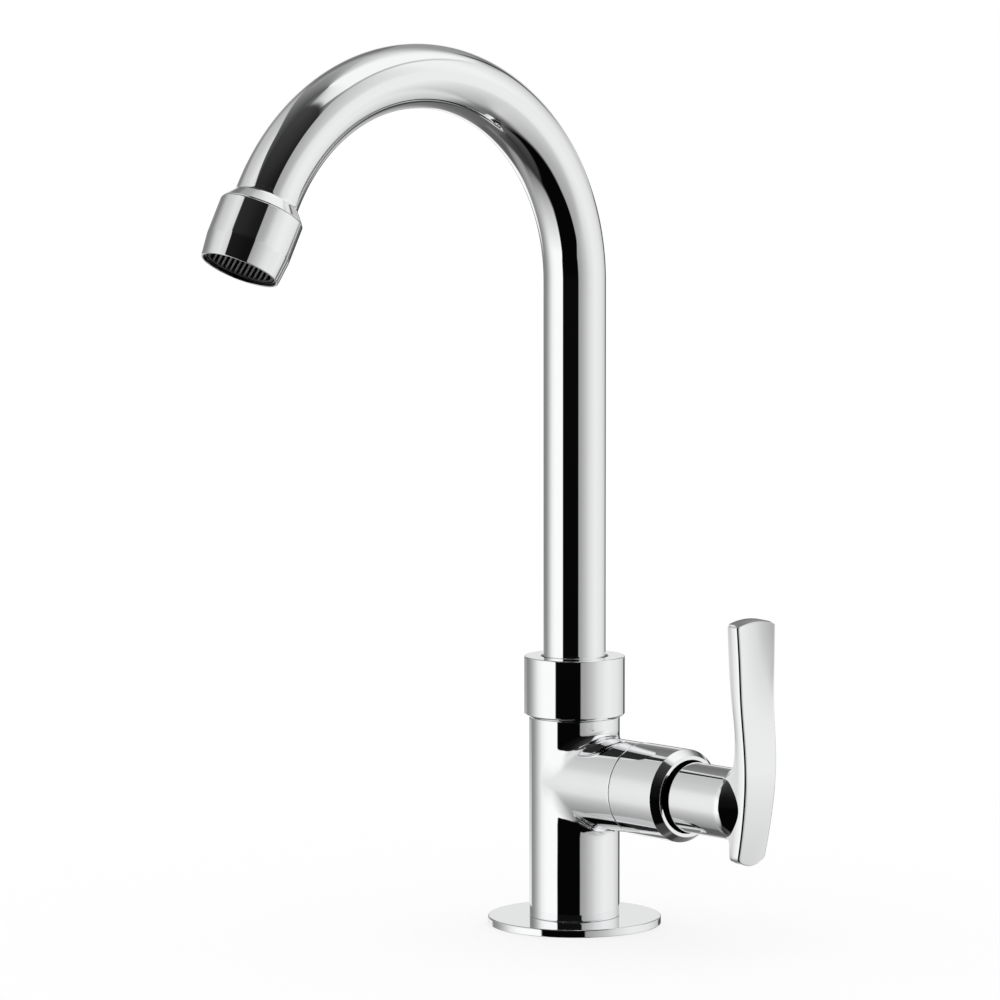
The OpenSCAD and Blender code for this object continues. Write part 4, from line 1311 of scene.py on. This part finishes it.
@dataclass
class Lever:
    """Round hub and upright blade, cast in one.

    The blade is a blank with a thick back, from which the room behind the blade is cut.
    """

    hub_radius: float = 11.2 * MM
    hub_start: float = 56.3 * MM
    hub_end: float = 78.75 * MM
    hub_edge: float = 0.5 * MM
    hub_round: float = 4.0 * MM
    cone_length: float = 4.85 * MM
    cavity_radius: float = 9.2 * MM
    cavity_end: float = 63.3 * MM
    bush_radius: float = 5.55 * MM
    bush_end: float = 76.75 * MM
    screw_place: float = 70.0 * MM
    screw_radius: float = 2.05 * MM
    plug_radius: float = 2.65 * MM
    plug_depth: float = 1.7 * MM
    blade_low: float = -17.15 * MM
    blade_high: float = 56.8 * MM
    low_crown: float = 1.05 * MM
    high_crown: float = 1.15 * MM
    low_crown_power: int = 4
    high_crown_power: int = 6
    low_corner: float = 1.8 * MM
    high_corner: float = 0.15 * MM
    edge: float = 0.85 * MM
    end_edge: float = 0.3 * MM
    side_crown: float = 0.18 * MM
    top_slope: float = 1.0 * MM
    top_slope_power: int = 12
    face_crown: float = 0.1 * MM
    top_fillet: float = 8.0 * MM
    low_fillet: float = 2.2 * MM
    fillet_reach: float = 30.0
    bite: float = 0.12 * MM
    blank_back: float = 70 * MM
    room_front: float = 40 * MM
    room_radius: float = 95 * MM
    around: int = 240
    corner_steps: int = 9
    guards: tuple[float, ...] = (1.3, 1.7, 2.2, 2.7, 3.2, 3.7, 4.3, 5.0)

    def front(self, rise: np.ndarray) -> np.ndarray:
        """Distance of the blade's face along the branch.

        Args:
            rise: Heights from the branch axis.

        Returns:
            The distances.
        """
        return MM * smooth_curve([
            (-22, 81.55), (-12.5, 83.8), (0, 86.0), (12.5, 86.95), (22.5, 86.4), (33, 85.5), (45, 85.2),
            (60, 84.7),
        ], rise / MM)

    def back(self, rise: np.ndarray) -> np.ndarray:
        """Distance of the blade's back along the branch.

        Args:
            rise: Heights from the branch axis.

        Returns:
            The distances.
        """
        return MM * smooth_curve([
            (-20, 79.5), (-15, 78.75), (-8, 79.3), (2, 80.6), (14, 81.7), (24, 82.1), (34, 80.9), (43, 80.3),
            (60, 80.1),
        ], rise / MM)

    def width(self, rise: np.ndarray) -> np.ndarray:
        """Width of the blade, which grows slower in the middle.

        Args:
            rise: Heights from the branch axis.

        Returns:
            The widths.
        """
        return MM * smooth_curve([
            (-20, 11.4), (0, 12.7), (15, 13.6), (30, 14.25), (45, 15.3), (60, 16.7),
        ], rise / MM)

    def section(self) -> tuple[np.ndarray, ...]:
        """One section of the blade's blank as weights.

        Returns:
            For each point round the section: its share of the half width, its offset across and
            forward in edge radii, and 1 at the face or 0 at the back.
        """
        arc = np.linspace(0, np.pi / 2, self.corner_steps)
        face = np.linspace(-1, 1, 33)[1:-1]
        flat, one = np.zeros_like, np.ones_like
        guard = np.array(self.guards)
        parts = [
            (-one(arc), -np.cos(arc), np.sin(arc), one(arc)),
            (face, flat(face), one(face), one(face)),
            (one(arc), np.sin(arc), np.cos(arc), one(arc)),
            (one(guard), one(guard), -(guard - 1), one(guard)),
            (one(guard), one(guard), (guard - 1)[::-1], flat(guard)),
            (one(arc), np.cos(arc), -np.sin(arc), flat(arc)),
            (-face, flat(face), -one(face), flat(face)),
            (-one(arc), -np.sin(arc), -np.cos(arc), flat(arc)),
            (-one(guard), -one(guard), guard - 1, flat(guard)),
            (-one(guard), -one(guard), -(guard - 1)[::-1], one(guard)),
        ]
        return tuple(np.concatenate([part[i] for part in parts])[None, :] for i in range(4))

    def rings(self, count: int = 110, cap_steps: int = 7) -> tuple[np.ndarray, ...]:
        """Sections of the blank from its foot to its top, with rounded corners and closed ends.

        A corner draws a section in by its radius times (1 - sin a) while it rises by its radius times
        (1 - cos a), and the end's edge goes on in the same way.

        Args:
            count: Sections between the corners.
            cap_steps: Steps of the edge at each end.

        Returns:
            Columns: heights of the sections, how far the corners and the ends' edges draw them in,
            and 1, or 0 where the section is closed to a line.
        """
        turn = np.linspace(0, np.pi / 2, self.corner_steps)
        low, high = self.blade_low + self.low_corner, self.blade_high - self.high_corner
        middle = np.linspace(low, high, count)[1:-1]
        rise = np.concatenate([
            self.blade_low + self.low_corner * (1 - np.cos(turn)),
            middle,
            self.blade_high - self.high_corner * (1 - np.cos(turn[::-1])),
        ])
        drawn = np.concatenate([
            self.low_corner * (1 - np.sin(turn)),
            0 * middle,
            self.high_corner * (1 - np.sin(turn[::-1])),
        ])
        cap = np.linspace(0, np.pi / 2, cap_steps)[1:]
        lift, inset = self.end_edge * np.sin(cap), self.end_edge * (1 - np.cos(cap))
        ones = np.ones(cap.size)
        rise = np.concatenate([
            [self.blade_low - self.end_edge], (self.blade_low - lift)[::-1], rise,
            self.blade_high + lift, [self.blade_high + self.end_edge],
        ])
        drawn = np.concatenate([
            [self.low_corner], self.low_corner * ones, drawn, self.high_corner * ones, [self.high_corner],
        ])
        inset = np.concatenate([
            [self.end_edge], inset[::-1], np.zeros(rise.size - 2 * cap.size - 2), inset, [self.end_edge],
        ])
        thick = np.ones(rise.size)
        thick[[0, -1]] = 0
        return tuple(part[:, None] for part in (rise, drawn, inset, thick))

    def blank(self) -> Sheet:
        """Blade with its face and sides but a thick back.

        A rounded rectangle is carried up the blade. Its half width follows the taper, drawn in round
        the corners, and the ends bow out by the crown times one less the square of the share across.
        The sides bow out in the same way between face and back, and the top slopes down forward.

        Returns:
            The closed blank.
        """
        across, side, ahead, facing = self.section()
        rise, drawn, inset, thick = self.rings()
        middle = np.clip(rise, self.blade_low, self.blade_high)
        half = self.width(middle) / 2 - drawn - inset
        y = across * (half - self.edge) + side * self.edge
        share = np.clip(y / half, -1, 1)
        end = (rise - self.blade_low) / (self.blade_high - self.blade_low)
        crown = self.high_crown * end**self.high_crown_power
        crown = crown - self.low_crown * (1 - end) ** self.low_crown_power
        lean = np.where(thick > 0, 1 - facing, 0.5)
        height = rise + crown * (1 - share**2) + self.top_slope * lean * end**self.top_slope_power
        face = self.front(height) - inset - self.face_crown * share**2
        back = self.blank_back + inset
        x = facing * (face - self.edge) + (1 - facing) * (back + self.edge) + ahead * self.edge
        depth = (self.front(height) - x) / (self.front(height) - self.back(height))
        bow = self.side_crown * (1 - np.clip(2 * depth - 1, -1.2, 1.2) ** 2)
        y = y + across * bow * thick
        core = (self.front(height) + self.back(height)) / 2
        x = np.where(thick > 0, x, core)
        return Sheet(np.stack([x, y, BRANCH_HEIGHT + height], -1))

    def behind(self, fillet_steps: int = 17, flat_steps: int = 60, crowding: float = 1.3) -> Sheet:
        """The room behind the blade, in rings about the branch axis.

        From inside, a ring lies on a cylinder just under the hub's skin, then on a quarter circle
        that leaves it, then on the blade's back, and last on a wide cylinder. The quarter circle's
        radius falls from the top fillet to the low one as 1 / cosh of the angle from the top.

        Args:
            fillet_steps: Rings on the quarter circle.
            flat_steps: Rings on the blade's back.
            crowding: Power that crowds those rings towards the hub.

        Returns:
            The closed room.
        """
        angle = full_turn(self.around)[None, :]
        from_top = np.degrees(np.pi - np.abs(angle - np.pi))
        share = 1 / np.cosh(from_top / self.fillet_reach)
        fillet = self.low_fillet + (self.top_fillet - self.low_fillet) * share
        inner = self.hub_radius - self.bite
        arc = np.linspace(0, np.pi / 2, fillet_steps)[:, None]
        arc_radius = inner + fillet * (1 - np.cos(arc))
        out = np.linspace(0, 1, flat_steps)[1:, None] ** crowding
        flat_radius = (inner + fillet) + (self.room_radius - inner - fillet) * out
        radius = np.vstack([inner + 0 * angle, arc_radius, flat_radius, self.room_radius + 0 * angle])
        up, across = radius * np.cos(angle), radius * np.sin(angle)
        arc_x = self.back(arc_radius * np.cos(angle)) - fillet * (1 - np.sin(arc))
        flat_x = self.back(up[fillet_steps + 1:-1])
        start = self.room_front + 0 * angle
        x = np.vstack([start, arc_x, flat_x, start])
        return Sheet(np.stack([x, across, BRANCH_HEIGHT + up], -1), wrap_rows=True)

    def hub(self) -> Sheet:
        """Solid hub with a 45 degree cone at its end.

        Returns:
            The closed hub, turned from an outline whose arcs start past the axis and are cut there.
        """
        tip = self.hub_end + self.cone_length
        corners = rounded([
            (-1 * MM, self.hub_start, 0),
            (self.hub_radius, self.hub_start, self.hub_edge),
            (self.hub_radius, self.hub_end, self.hub_round),
            (self.hub_radius - self.cone_length, tip, 0),
            (-1 * MM, tip, 0),
        ], steps=8)
        outline = np.vstack([[(0, self.hub_start)], corners[corners[:, 0] > 0], [(0, tip)]])
        return turned(split_long(outline, 1 * MM, closed=False), BRANCH, self.around, closed=False)

    def build(self) -> None:
        """Joins the blade to the hub and cuts the holes."""
        piece = solid("cast_lever", [self.blank()])
        fold(piece, solid("room_behind", [self.behind()]), Fold.CUT)
        fold(piece, solid("hub_blank", [self.hub()]), Fold.JOIN)
        over = 1 * MM
        surface = self.hub_radius
        down = Axis((self.screw_place, 0, BRANCH_HEIGHT), ((1, 0, 0), (0, -1, 0), (0, 0, -1)))
        cutters = [
            rod("hub_cavity", BRANCH, self.cavity_radius, self.hub_start - over, self.cavity_end),
            rod("bush_hole", BRANCH, self.bush_radius, self.hub_start, self.bush_end),
            rod("screw_hole", down, self.screw_radius, 0, surface + over, around=48),
            rod("plug_hole", down, self.plug_radius, surface - self.plug_depth, surface + over, around=64),
        ]
        for cutter in cutters:
            fold(piece, cutter, Fold.CUT)
        fit_out(piece, "lever", Body.HANDLE, mirrored=False)


@dataclass
class InnerParts:
    """Seals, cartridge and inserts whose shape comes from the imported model."""

    def build(self) -> None:
        """Gives each node that still shows the finish of its slot."""
        for name, node in frame["nodes"].items():
            if node.hide_render:
                continue
            finish = FINISHES[slot_of(name)].material()
            for slot in node.material_slots:
                slot.material = finish
            log.info("%s keeps its shape, finish %s", name, finish.name)


# The studio. A bend is a start and the change for each degree past it.
Bend = tuple[float, float]


def past(value: Socket, start: float) -> Socket:
    """How far a value is past a start, or 0 before it."""
    return (value - start).math("MAXIMUM", 0.0)


def bent(value: Socket, *bends: Bend) -> Socket:
    """Sum of what the bends change."""
    return sum(past(value, start) * rate for start, rate in bends)


class View:
    """A direction of light as azimuth and elevation, in degrees."""

    def __init__(self, graph: Graph, azimuth: Socket, elevation: Socket, beyond: Socket) -> None:
        """Keeps the angles, with the depth below the horizon and the lift above it.

        Args:
            graph: Nodes that the panels are made of.
            azimuth: Angle to the right of the side that the camera stands on.
            elevation: Angle above the horizon.
            beyond: How far the direction is past the straight edge of the light overhead.
        """
        self.graph, self.azimuth, self.elevation, self.beyond = graph, azimuth, elevation, beyond
        self.lift = past(elevation, 0)
        self.depth = past(0 - elevation, 0)

    def _ramp(self, angle: Socket, half: float, stops: Stops) -> Socket:
        """Level by angle.

        Args:
            angle: Angle in degrees, from -half to half.
            half: Half of its range.
            stops: Pairs of angle and shown level.

        Returns:
            The level as light.
        """
        placed = [((place + half) / (2 * half), light(shown)) for place, shown in stops]
        return self.graph.add("ShaderNodeValToRGB", {"stops": placed}, {0: (angle + half) / (2 * half)})

    def by_azimuth(self, stops: Stops) -> Socket:
        """Level by azimuth."""
        return self._ramp(self.azimuth, 180, stops)

    def by_elevation(self, stops: Stops) -> Socket:
        """Level by elevation."""
        return self._ramp(self.elevation, 90, stops)


@dataclass(frozen=True)
class Room:
    """Grey below and a ceiling that is bright behind, with the wall behind the tap."""

    ground: Stops = (
        (-180, 0.42), (-150, 0.34), (-120, 0.26), (-60, 0.2), (0, 0.27), (60, 0.36), (100, 0.46),
        (140, 0.36), (180, 0.42),
    )
    ceiling: Stops = (
        (-180, 0.72), (-165, 0.63), (-150, 0.54), (-130, 0.44), (-110, 0.37), (-80, 0.3), (-50, 0.25),
        (0, 0.22), (30, 0.22), (60, 0.6), (125, 0.9), (150, 0.6), (180, 0.62),
    )
    horizon: Edge = (0, 20)
    wall: Stops = (
        (-90, 0.35), (-50, 0.42), (-35, 0.5), (-22, 0.7), (-14, 0.82), (-11, 0.3), (3, 0.3), (5, 0.9),
        (12, 0.9), (17, 0.55), (28, 0.45), (40, 0.5), (46, 0.62), (90, 0.75),
    )
    wall_side: Edge = (150, 6)
    wall_top: Edge = (50, 6)

    def fill(self, view: View) -> Socket:
        """Fills every direction.

        Args:
            view: Direction of the light.

        Returns:
            Level of the empty room.
        """
        ground, ceiling = view.by_azimuth(self.ground), view.by_azimuth(self.ceiling)
        level = ground.toward(ceiling, view.elevation.above(*self.horizon))
        behind = view.azimuth.math("ABSOLUTE").above(*self.wall_side)
        return level.toward(view.by_elevation(self.wall), behind * view.elevation.below(*self.wall_top))


@dataclass(frozen=True)
class LeftBox:
    """Softbox on the left with an arched top, a white opening behind it and a dark patch below that."""

    low: Stops = (
        (-180, 0.6), (-160, 0.56), (-145, 0.51), (-135, 0.54), (-125, 0.6), (-115, 0.7), (-105, 0.82),
        (-95, 0.93), (-85, 0.98), (-75, 1.0), (-45, 1.0),
    )
    high: Stops = (
        (-180, 0.4), (-163, 0.45), (-155, 0.62), (-145, 0.71), (-135, 0.75), (-115, 0.78), (-95, 0.84),
        (-75, 0.9), (-55, 0.85),
    )
    change: Edge = (22, 8)
    dimming: Bend = (18, 0.019)
    dimming_start: Edge = (-112, 16)
    far_side: Edge = (-164, 6)
    near_side: Edge = (-20, 2)
    bottom: Edge = (-65, 5)
    bottom_bend: Bend = (-75, 0.35)
    arch: Edge = (57, 1.5)
    arch_middle: float = -97
    arch_fall: float = 0.0067
    arch_bend: Bend = (-90, -0.13)
    opening_side: Edge = (-143, 5)
    opening_top: Edge = (-9, 3)
    opening_level: float = 1.0
    sill: Edge = (-25.5, 3)
    sill_start: float = -175
    sill_fall: float = 0.1
    patch_far: Edge = (-168, 6)
    patch_near: Edge = (-138, 4)
    patch_bottom: Edge = (-60, 8)
    patch_top: Edge = (-32, 3)
    patch_level: float = 0.37

    def lay(self, view: View, level: Socket) -> Socket:
        """Lays the softbox, the opening and the patch.

        The arch is a parabola in azimuth about its middle, with a bend near the camera's side.

        Args:
            view: Direction of the light.
            level: Level so far.

        Returns:
            Level with the panel.
        """
        azimuth, elevation = view.azimuth, view.elevation
        dimmed = bent(view.depth, self.dimming) * azimuth.above(*self.dimming_start)
        low = view.by_azimuth(self.low) * (1 - dimmed)
        shown = low.toward(view.by_azimuth(self.high), elevation.above(*self.change))
        along = azimuth - self.arch_middle
        arch = self.arch[0] - along * along * self.arch_fall + bent(azimuth, self.arch_bend)
        bottom = bent(azimuth, self.bottom_bend) + self.bottom[0]
        box = azimuth.between(self.far_side, self.near_side)
        box = box * elevation.above(bottom, self.bottom[1]) * elevation.below(arch, self.arch[1])
        level = level.toward(shown, box)
        sill = self.sill[0] - (azimuth - self.sill_start) * self.sill_fall
        opening = elevation.above(sill, self.sill[1]) * elevation.below(*self.opening_top)
        level = level.toward(light(self.opening_level), opening * azimuth.below(*self.opening_side))
        patch = azimuth.between(self.patch_far, self.patch_near)
        patch = patch * elevation.between(self.patch_bottom, self.patch_top)
        return level.toward(light(self.patch_level), patch)


@dataclass(frozen=True)
class RightBox:
    """Softbox on the right, with a slanting post and dark uprights behind it."""

    far: Stops = (
        (10, 0.63), (25, 0.65), (45, 0.7), (55, 0.75), (65, 0.81), (75, 0.88), (85, 0.95), (97, 0.96),
        (115, 0.91), (130, 0.86), (150, 0.76),
    )
    near: Stops = (
        (13, 0.61), (25, 0.67), (35, 0.74), (45, 0.8), (55, 0.87), (65, 0.9), (75, 0.93), (85, 0.94),
        (115, 0.91), (130, 0.86), (150, 0.76),
    )
    far_start: Edge = (14, 5)
    low_dimming: Bend = (10, 0.006)
    low_dimming_start: Edge = (80, 20)
    stripe_dimming: Bend = (10, 0.009)
    stripe_sides: tuple[Edge, Edge] = ((72, 6), (96, 6))
    top: Edge = (45.7, 1.5)
    top_start: float = 40
    top_fall: float = 0.0016
    bottom: Edge = (-59, 9)
    side: Edge = (13, 1.5)
    side_lean: float = 0.42
    side_bend: Bend = (25, 0.9)
    end: Edge = (149.5, 2.5)
    end_step: float = -27
    end_step_top: Edge = (-12, 2)
    end_bend: Bend = (12, 0.3)
    post: Edge = (3, 2)
    post_place: tuple[float, float] = (148, 36)
    post_lean: float = 0.41
    post_height: tuple[Edge, Edge] = ((9, 6), (38, 5))
    post_level: float = 0.2
    upright: Stops = ((-90, 0.3), (-60, 0.14), (-45, 0.2), (-30, 0.27), (-20, 0.44), (-12, 0.5))
    upright_sides: tuple[Edge, Edge] = ((137, 4), (151, 3))
    upright_top: Edge = (-12, 2)

    def brow(self, view: View) -> Socket:
        """Elevation of the softbox's top."""
        along = past(view.azimuth, self.top_start)
        return self.top[0] - along * along * self.top_fall

    def corner(self, view: View) -> Socket:
        """Azimuth of the softbox's left edge above the horizon."""
        return self.side[0] + view.lift * self.side_lean + bent(view.elevation, self.side_bend)

    def shown(self, view: View) -> Socket:
        """Level of the softbox, dimmed low down and more so in a stripe.

        Args:
            view: Direction of the light.

        Returns:
            The level.
        """
        azimuth, depth = view.azimuth, view.depth
        far = view.elevation.math("ABSOLUTE").above(*self.far_start)
        level = view.by_azimuth(self.near).toward(view.by_azimuth(self.far), far)
        level = level * (1 - bent(depth, self.low_dimming) * azimuth.above(*self.low_dimming_start))
        return level * (1 - bent(depth, self.stripe_dimming) * azimuth.between(*self.stripe_sides))

    def lay(self, view: View, level: Socket) -> Socket:
        """Lays the softbox, the post and the uprights.

        Args:
            view: Direction of the light.
            level: Level so far.

        Returns:
            Level with the panel.
        """
        azimuth, elevation = view.azimuth, view.elevation
        step = elevation.below(*self.end_step_top) * self.end_step
        end = self.end[0] + step + bent(view.depth, self.end_bend)
        box = azimuth.above(self.corner(view), self.side[1]) * azimuth.below(end, self.end[1])
        box = box * elevation.above(*self.bottom) * elevation.below(self.brow(view), self.top[1])
        level = level.toward(self.shown(view), box)
        middle, foot = self.post_place
        from_post = azimuth - middle - (foot - elevation) * self.post_lean
        post = from_post.math("ABSOLUTE").below(*self.post) * elevation.between(*self.post_height)
        level = level.toward(light(self.post_level), post)
        upright = azimuth.between(*self.upright_sides) * elevation.below(*self.upright_top)
        return level.toward(view.by_elevation(self.upright), upright)


@dataclass(frozen=True)
class Overhead:
    """Light overhead on the right, past a straight edge, and the faint strip along that edge."""

    level: Stops = (
        (-180, 0.76), (-165, 0.67), (-150, 0.58), (-130, 0.46), (-100, 0.38), (-60, 0.36), (-25, 0.42),
        (0, 0.66), (30, 0.84), (60, 0.98), (120, 0.98), (140, 0.92), (155, 0.85), (180, 0.76),
    )
    edge: Edge = (0.0, 0.07)
    far_side: Edge = (142, 14)
    far_top: Edge = (50, 12)
    far_level: float = 0.6
    bottom: Edge = (4.3, 2)
    bottom_start: float = 60
    bottom_rise: float = 0.2
    side: Edge = (-30, 10)
    peak: Edge = (76, 5)
    strip: tuple[Edge, Edge] = ((-0.14, 0.03), (0.0, 0.04))
    strip_bottom: Edge = (50, 4)
    strip_sides: tuple[Edge, Edge] = ((-10, 6), (34, 6))
    strip_level: float = 0.42
    box: RightBox = RightBox()

    def lay(self, view: View, level: Socket) -> Socket:
        """Lays the strip and then the light.

        Args:
            view: Direction of the light.
            level: Level so far.

        Returns:
            Level with the panel.
        """
        azimuth, elevation, beyond = view.azimuth, view.elevation, view.beyond
        strip = beyond.between(*self.strip) * elevation.above(*self.strip_bottom)
        level = level.toward(light(self.strip_level), strip * azimuth.between(*self.strip_sides))
        far = azimuth.above(*self.far_side) * elevation.below(*self.far_top)
        shown = view.by_azimuth(self.level).toward(light(self.far_level), far)
        rise = past(self.bottom_start - azimuth, 0) * self.bottom_rise
        bottom = self.box.brow(view) + self.bottom[0] + rise
        inside = beyond.above(*self.edge) * elevation.above(bottom, self.bottom[1])
        reach = azimuth.above(*self.side).math("MAXIMUM", elevation.above(*self.peak))
        return level.toward(shown, inside * reach)


@dataclass(frozen=True)
class Card:
    """Black card round the camera, greyer towards the ceiling, with edges that blur low down."""

    level: Stops = (
        (-90, 0.02), (-8, 0.02), (0, 0.05), (20, 0.07), (33, 0.12), (45, 0.18), (60, 0.22), (90, 0.3),
    )
    left: float = -45.5
    left_step: float = 3.5
    left_step_start: Edge = (16, 4)
    left_bends: tuple[Bend, ...] = ((20, 0.15), (42, -0.6))
    left_lift: Bend = (10, -0.25)
    right: float = 13.0
    right_step: float = 8.5
    right_step_start: Edge = (14, 3)
    right_bends: tuple[Bend, ...] = ((17, 0.2), (33, 0.5))
    blur: float = 1.5
    blur_bend: Bend = (28, 0.25)
    bottom: Edge = (-66, 3)
    bottom_fall: float = 0.2
    top: Edge = (0.0, 0.04)
    box: RightBox = RightBox()

    def lay(self, view: View, level: Socket) -> Socket:
        """Lays the card, whose right edge is the softbox's left one above the horizon.

        Args:
            view: Direction of the light.
            level: Level so far.

        Returns:
            Level with the panel.
        """
        azimuth, elevation, depth = view.azimuth, view.elevation, view.depth
        left = self.left + depth.above(*self.left_step_start) * self.left_step
        left = left + bent(depth, *self.left_bends) + bent(view.lift, self.left_lift)
        right = self.right + depth.above(*self.right_step_start) * self.right_step
        right = self.box.corner(view).math("MAXIMUM", right + bent(depth, *self.right_bends))
        blur = self.blur + bent(depth, self.blur_bend)
        card = ((azimuth - left) / blur).above(0, 1) * ((azimuth - right) / blur).below(0, 1)
        bottom = self.bottom[0] - azimuth * self.bottom_fall
        card = card * elevation.above(bottom, self.bottom[1]) * view.beyond.below(*self.top)
        return level.toward(view.by_elevation(self.level), card)


@dataclass
class Studio:
    """Camera, floor and the light and dark panels round the tap.

    Angles are in degrees. Azimuth 0 is the side that the camera stands on, and it grows to the
    right as the camera sees it. Levels are the share of white that a panel shows. The light
    overhead has a straight edge, a plane through the tap whose tilt is given up and to the right.
    """

    place: tuple[float, float, float] = (1.1853, -1.0605, 0.2907)
    azimuth: float = 49.04
    pitch: float = 5.50
    roll: float = 0.057
    lens: float = 178.8
    sensor_width: float = 36.0
    clip: tuple[float, float] = (0.05, 400.0)
    floor_half: float = 60.0
    floor_white: float = 0.999
    floor_glow: float = 0.65
    edge_tilt: tuple[float, float] = (0.258, 0.648)

    def camera(self) -> None:
        """Stands the camera where the photograph was taken from."""
        data = bpy.data.cameras.new("camera")
        data.lens, data.sensor_width = self.lens, self.sensor_width
        data.clip_start, data.clip_end = self.clip
        camera = bpy.data.objects.new("camera", data)
        camera.location = self.place
        camera.rotation_mode = "XYZ"
        tilt, turn = math.radians(90 - self.pitch), math.radians(self.azimuth)
        camera.rotation_euler = (tilt, math.radians(self.roll), turn)
        bpy.context.scene.collection.objects.link(camera)
        bpy.context.scene.camera = camera

    def floor(self) -> None:
        """Lays the deck that the flange stands on, white to the camera and clear to reflections.

        To the camera it glows by a share, which leaves a faint shadow.
        """
        half = self.floor_half
        line = np.linspace(-half, half, 3)
        x, y = np.meshgrid(line, line)
        sheet = Sheet(np.stack([x, y, 0 * x], -1), wrap_columns=False)
        floor = solid("deck_floor", [sheet])
        material = bpy.data.materials.new("floor_white")
        material.use_nodes = True
        graph = Graph(material.node_tree)
        mirrored = graph.add("ShaderNodeLightPath", {}, {}, "Is Glossy Ray")
        seen = graph.add("ShaderNodeLightPath", {}, {}, "Is Camera Ray")
        matt = graph.add("ShaderNodeBsdfDiffuse", {}, {"Color": (*[self.floor_white] * 3, 1)})
        glow = graph.add("ShaderNodeEmission", {}, {"Color": (1, 1, 1, 1), "Strength": 1.0})
        clear = graph.add("ShaderNodeBsdfTransparent", {}, {})
        white = graph.add("ShaderNodeMixShader", {}, {0: seen * self.floor_glow, 1: matt, 2: glow})
        mixed = graph.add("ShaderNodeMixShader", {}, {0: mirrored, 1: white, 2: clear})
        graph.add("ShaderNodeOutputMaterial", {}, {"Surface": mixed})
        floor.data.materials.append(material)

    def panels(self, graph: Graph) -> Socket:
        """Level of light by direction, as metal sees it.

        Each panel is a mask with soft edges in azimuth and elevation, laid over those before it.

        Args:
            graph: Nodes of the world.

        Returns:
            The level.
        """
        way = graph.add("ShaderNodeTexCoord", {}, {}, "Generated")
        turned_way = graph.add(
            "ShaderNodeVectorRotate",
            {"rotation_type": "Z_AXIS"},
            {"Vector": way, "Angle": math.radians(90 - self.azimuth)},
        )
        toward, right, up = graph.split(turned_way)
        to_degrees = 180 / math.pi
        azimuth, elevation = right.math("ARCTAN2", toward) * to_degrees, up.math("ARCSINE") * to_degrees
        up_tilt, right_tilt = self.edge_tilt
        view = View(graph, azimuth, elevation, up * up_tilt + right * right_tilt - toward)
        level = Room().fill(view)
        for panel in (LeftBox(), Overhead(), RightBox(), Card()):
            level = panel.lay(view, level)
        return level

    def world(self) -> None:
        """White to the camera and to matt surfaces, and panels to metal."""
        world = bpy.data.worlds.new("studio")
        bpy.context.scene.world = world
        world.use_nodes = True
        world.cycles.sampling_method = "NONE"
        graph = Graph(world.node_tree)
        glossy = graph.add("ShaderNodeLightPath", {}, {}, "Is Glossy Ray")
        strength = 1 + (self.panels(graph) - 1) * glossy
        shown = graph.add("ShaderNodeBackground", {}, {"Color": (1, 1, 1, 1), "Strength": strength})
        graph.add("ShaderNodeOutputWorld", {}, {"Surface": shown})

    def build(self) -> None:
        """Sets up the camera, the floor, the world and the plain colour view."""
        bpy.context.scene.view_settings.view_transform = "Standard"
        self.camera()
        self.floor()
        self.world()


def main() -> None:
    """Builds the studio and the tap, sub-assembly by sub-assembly."""
    logging.basicConfig(level=logging.INFO, format="%(name)s: %(message)s")
    Studio().build()
    for assembly in (
        Flange(), DeckClamp(), Casting(), CartridgeCover(), SpoutNut(), SwanNeck(), Aerator(), Lever(),
        InnerParts(),
    ):
        assembly.build()


if __name__ == "__main__":
    main()
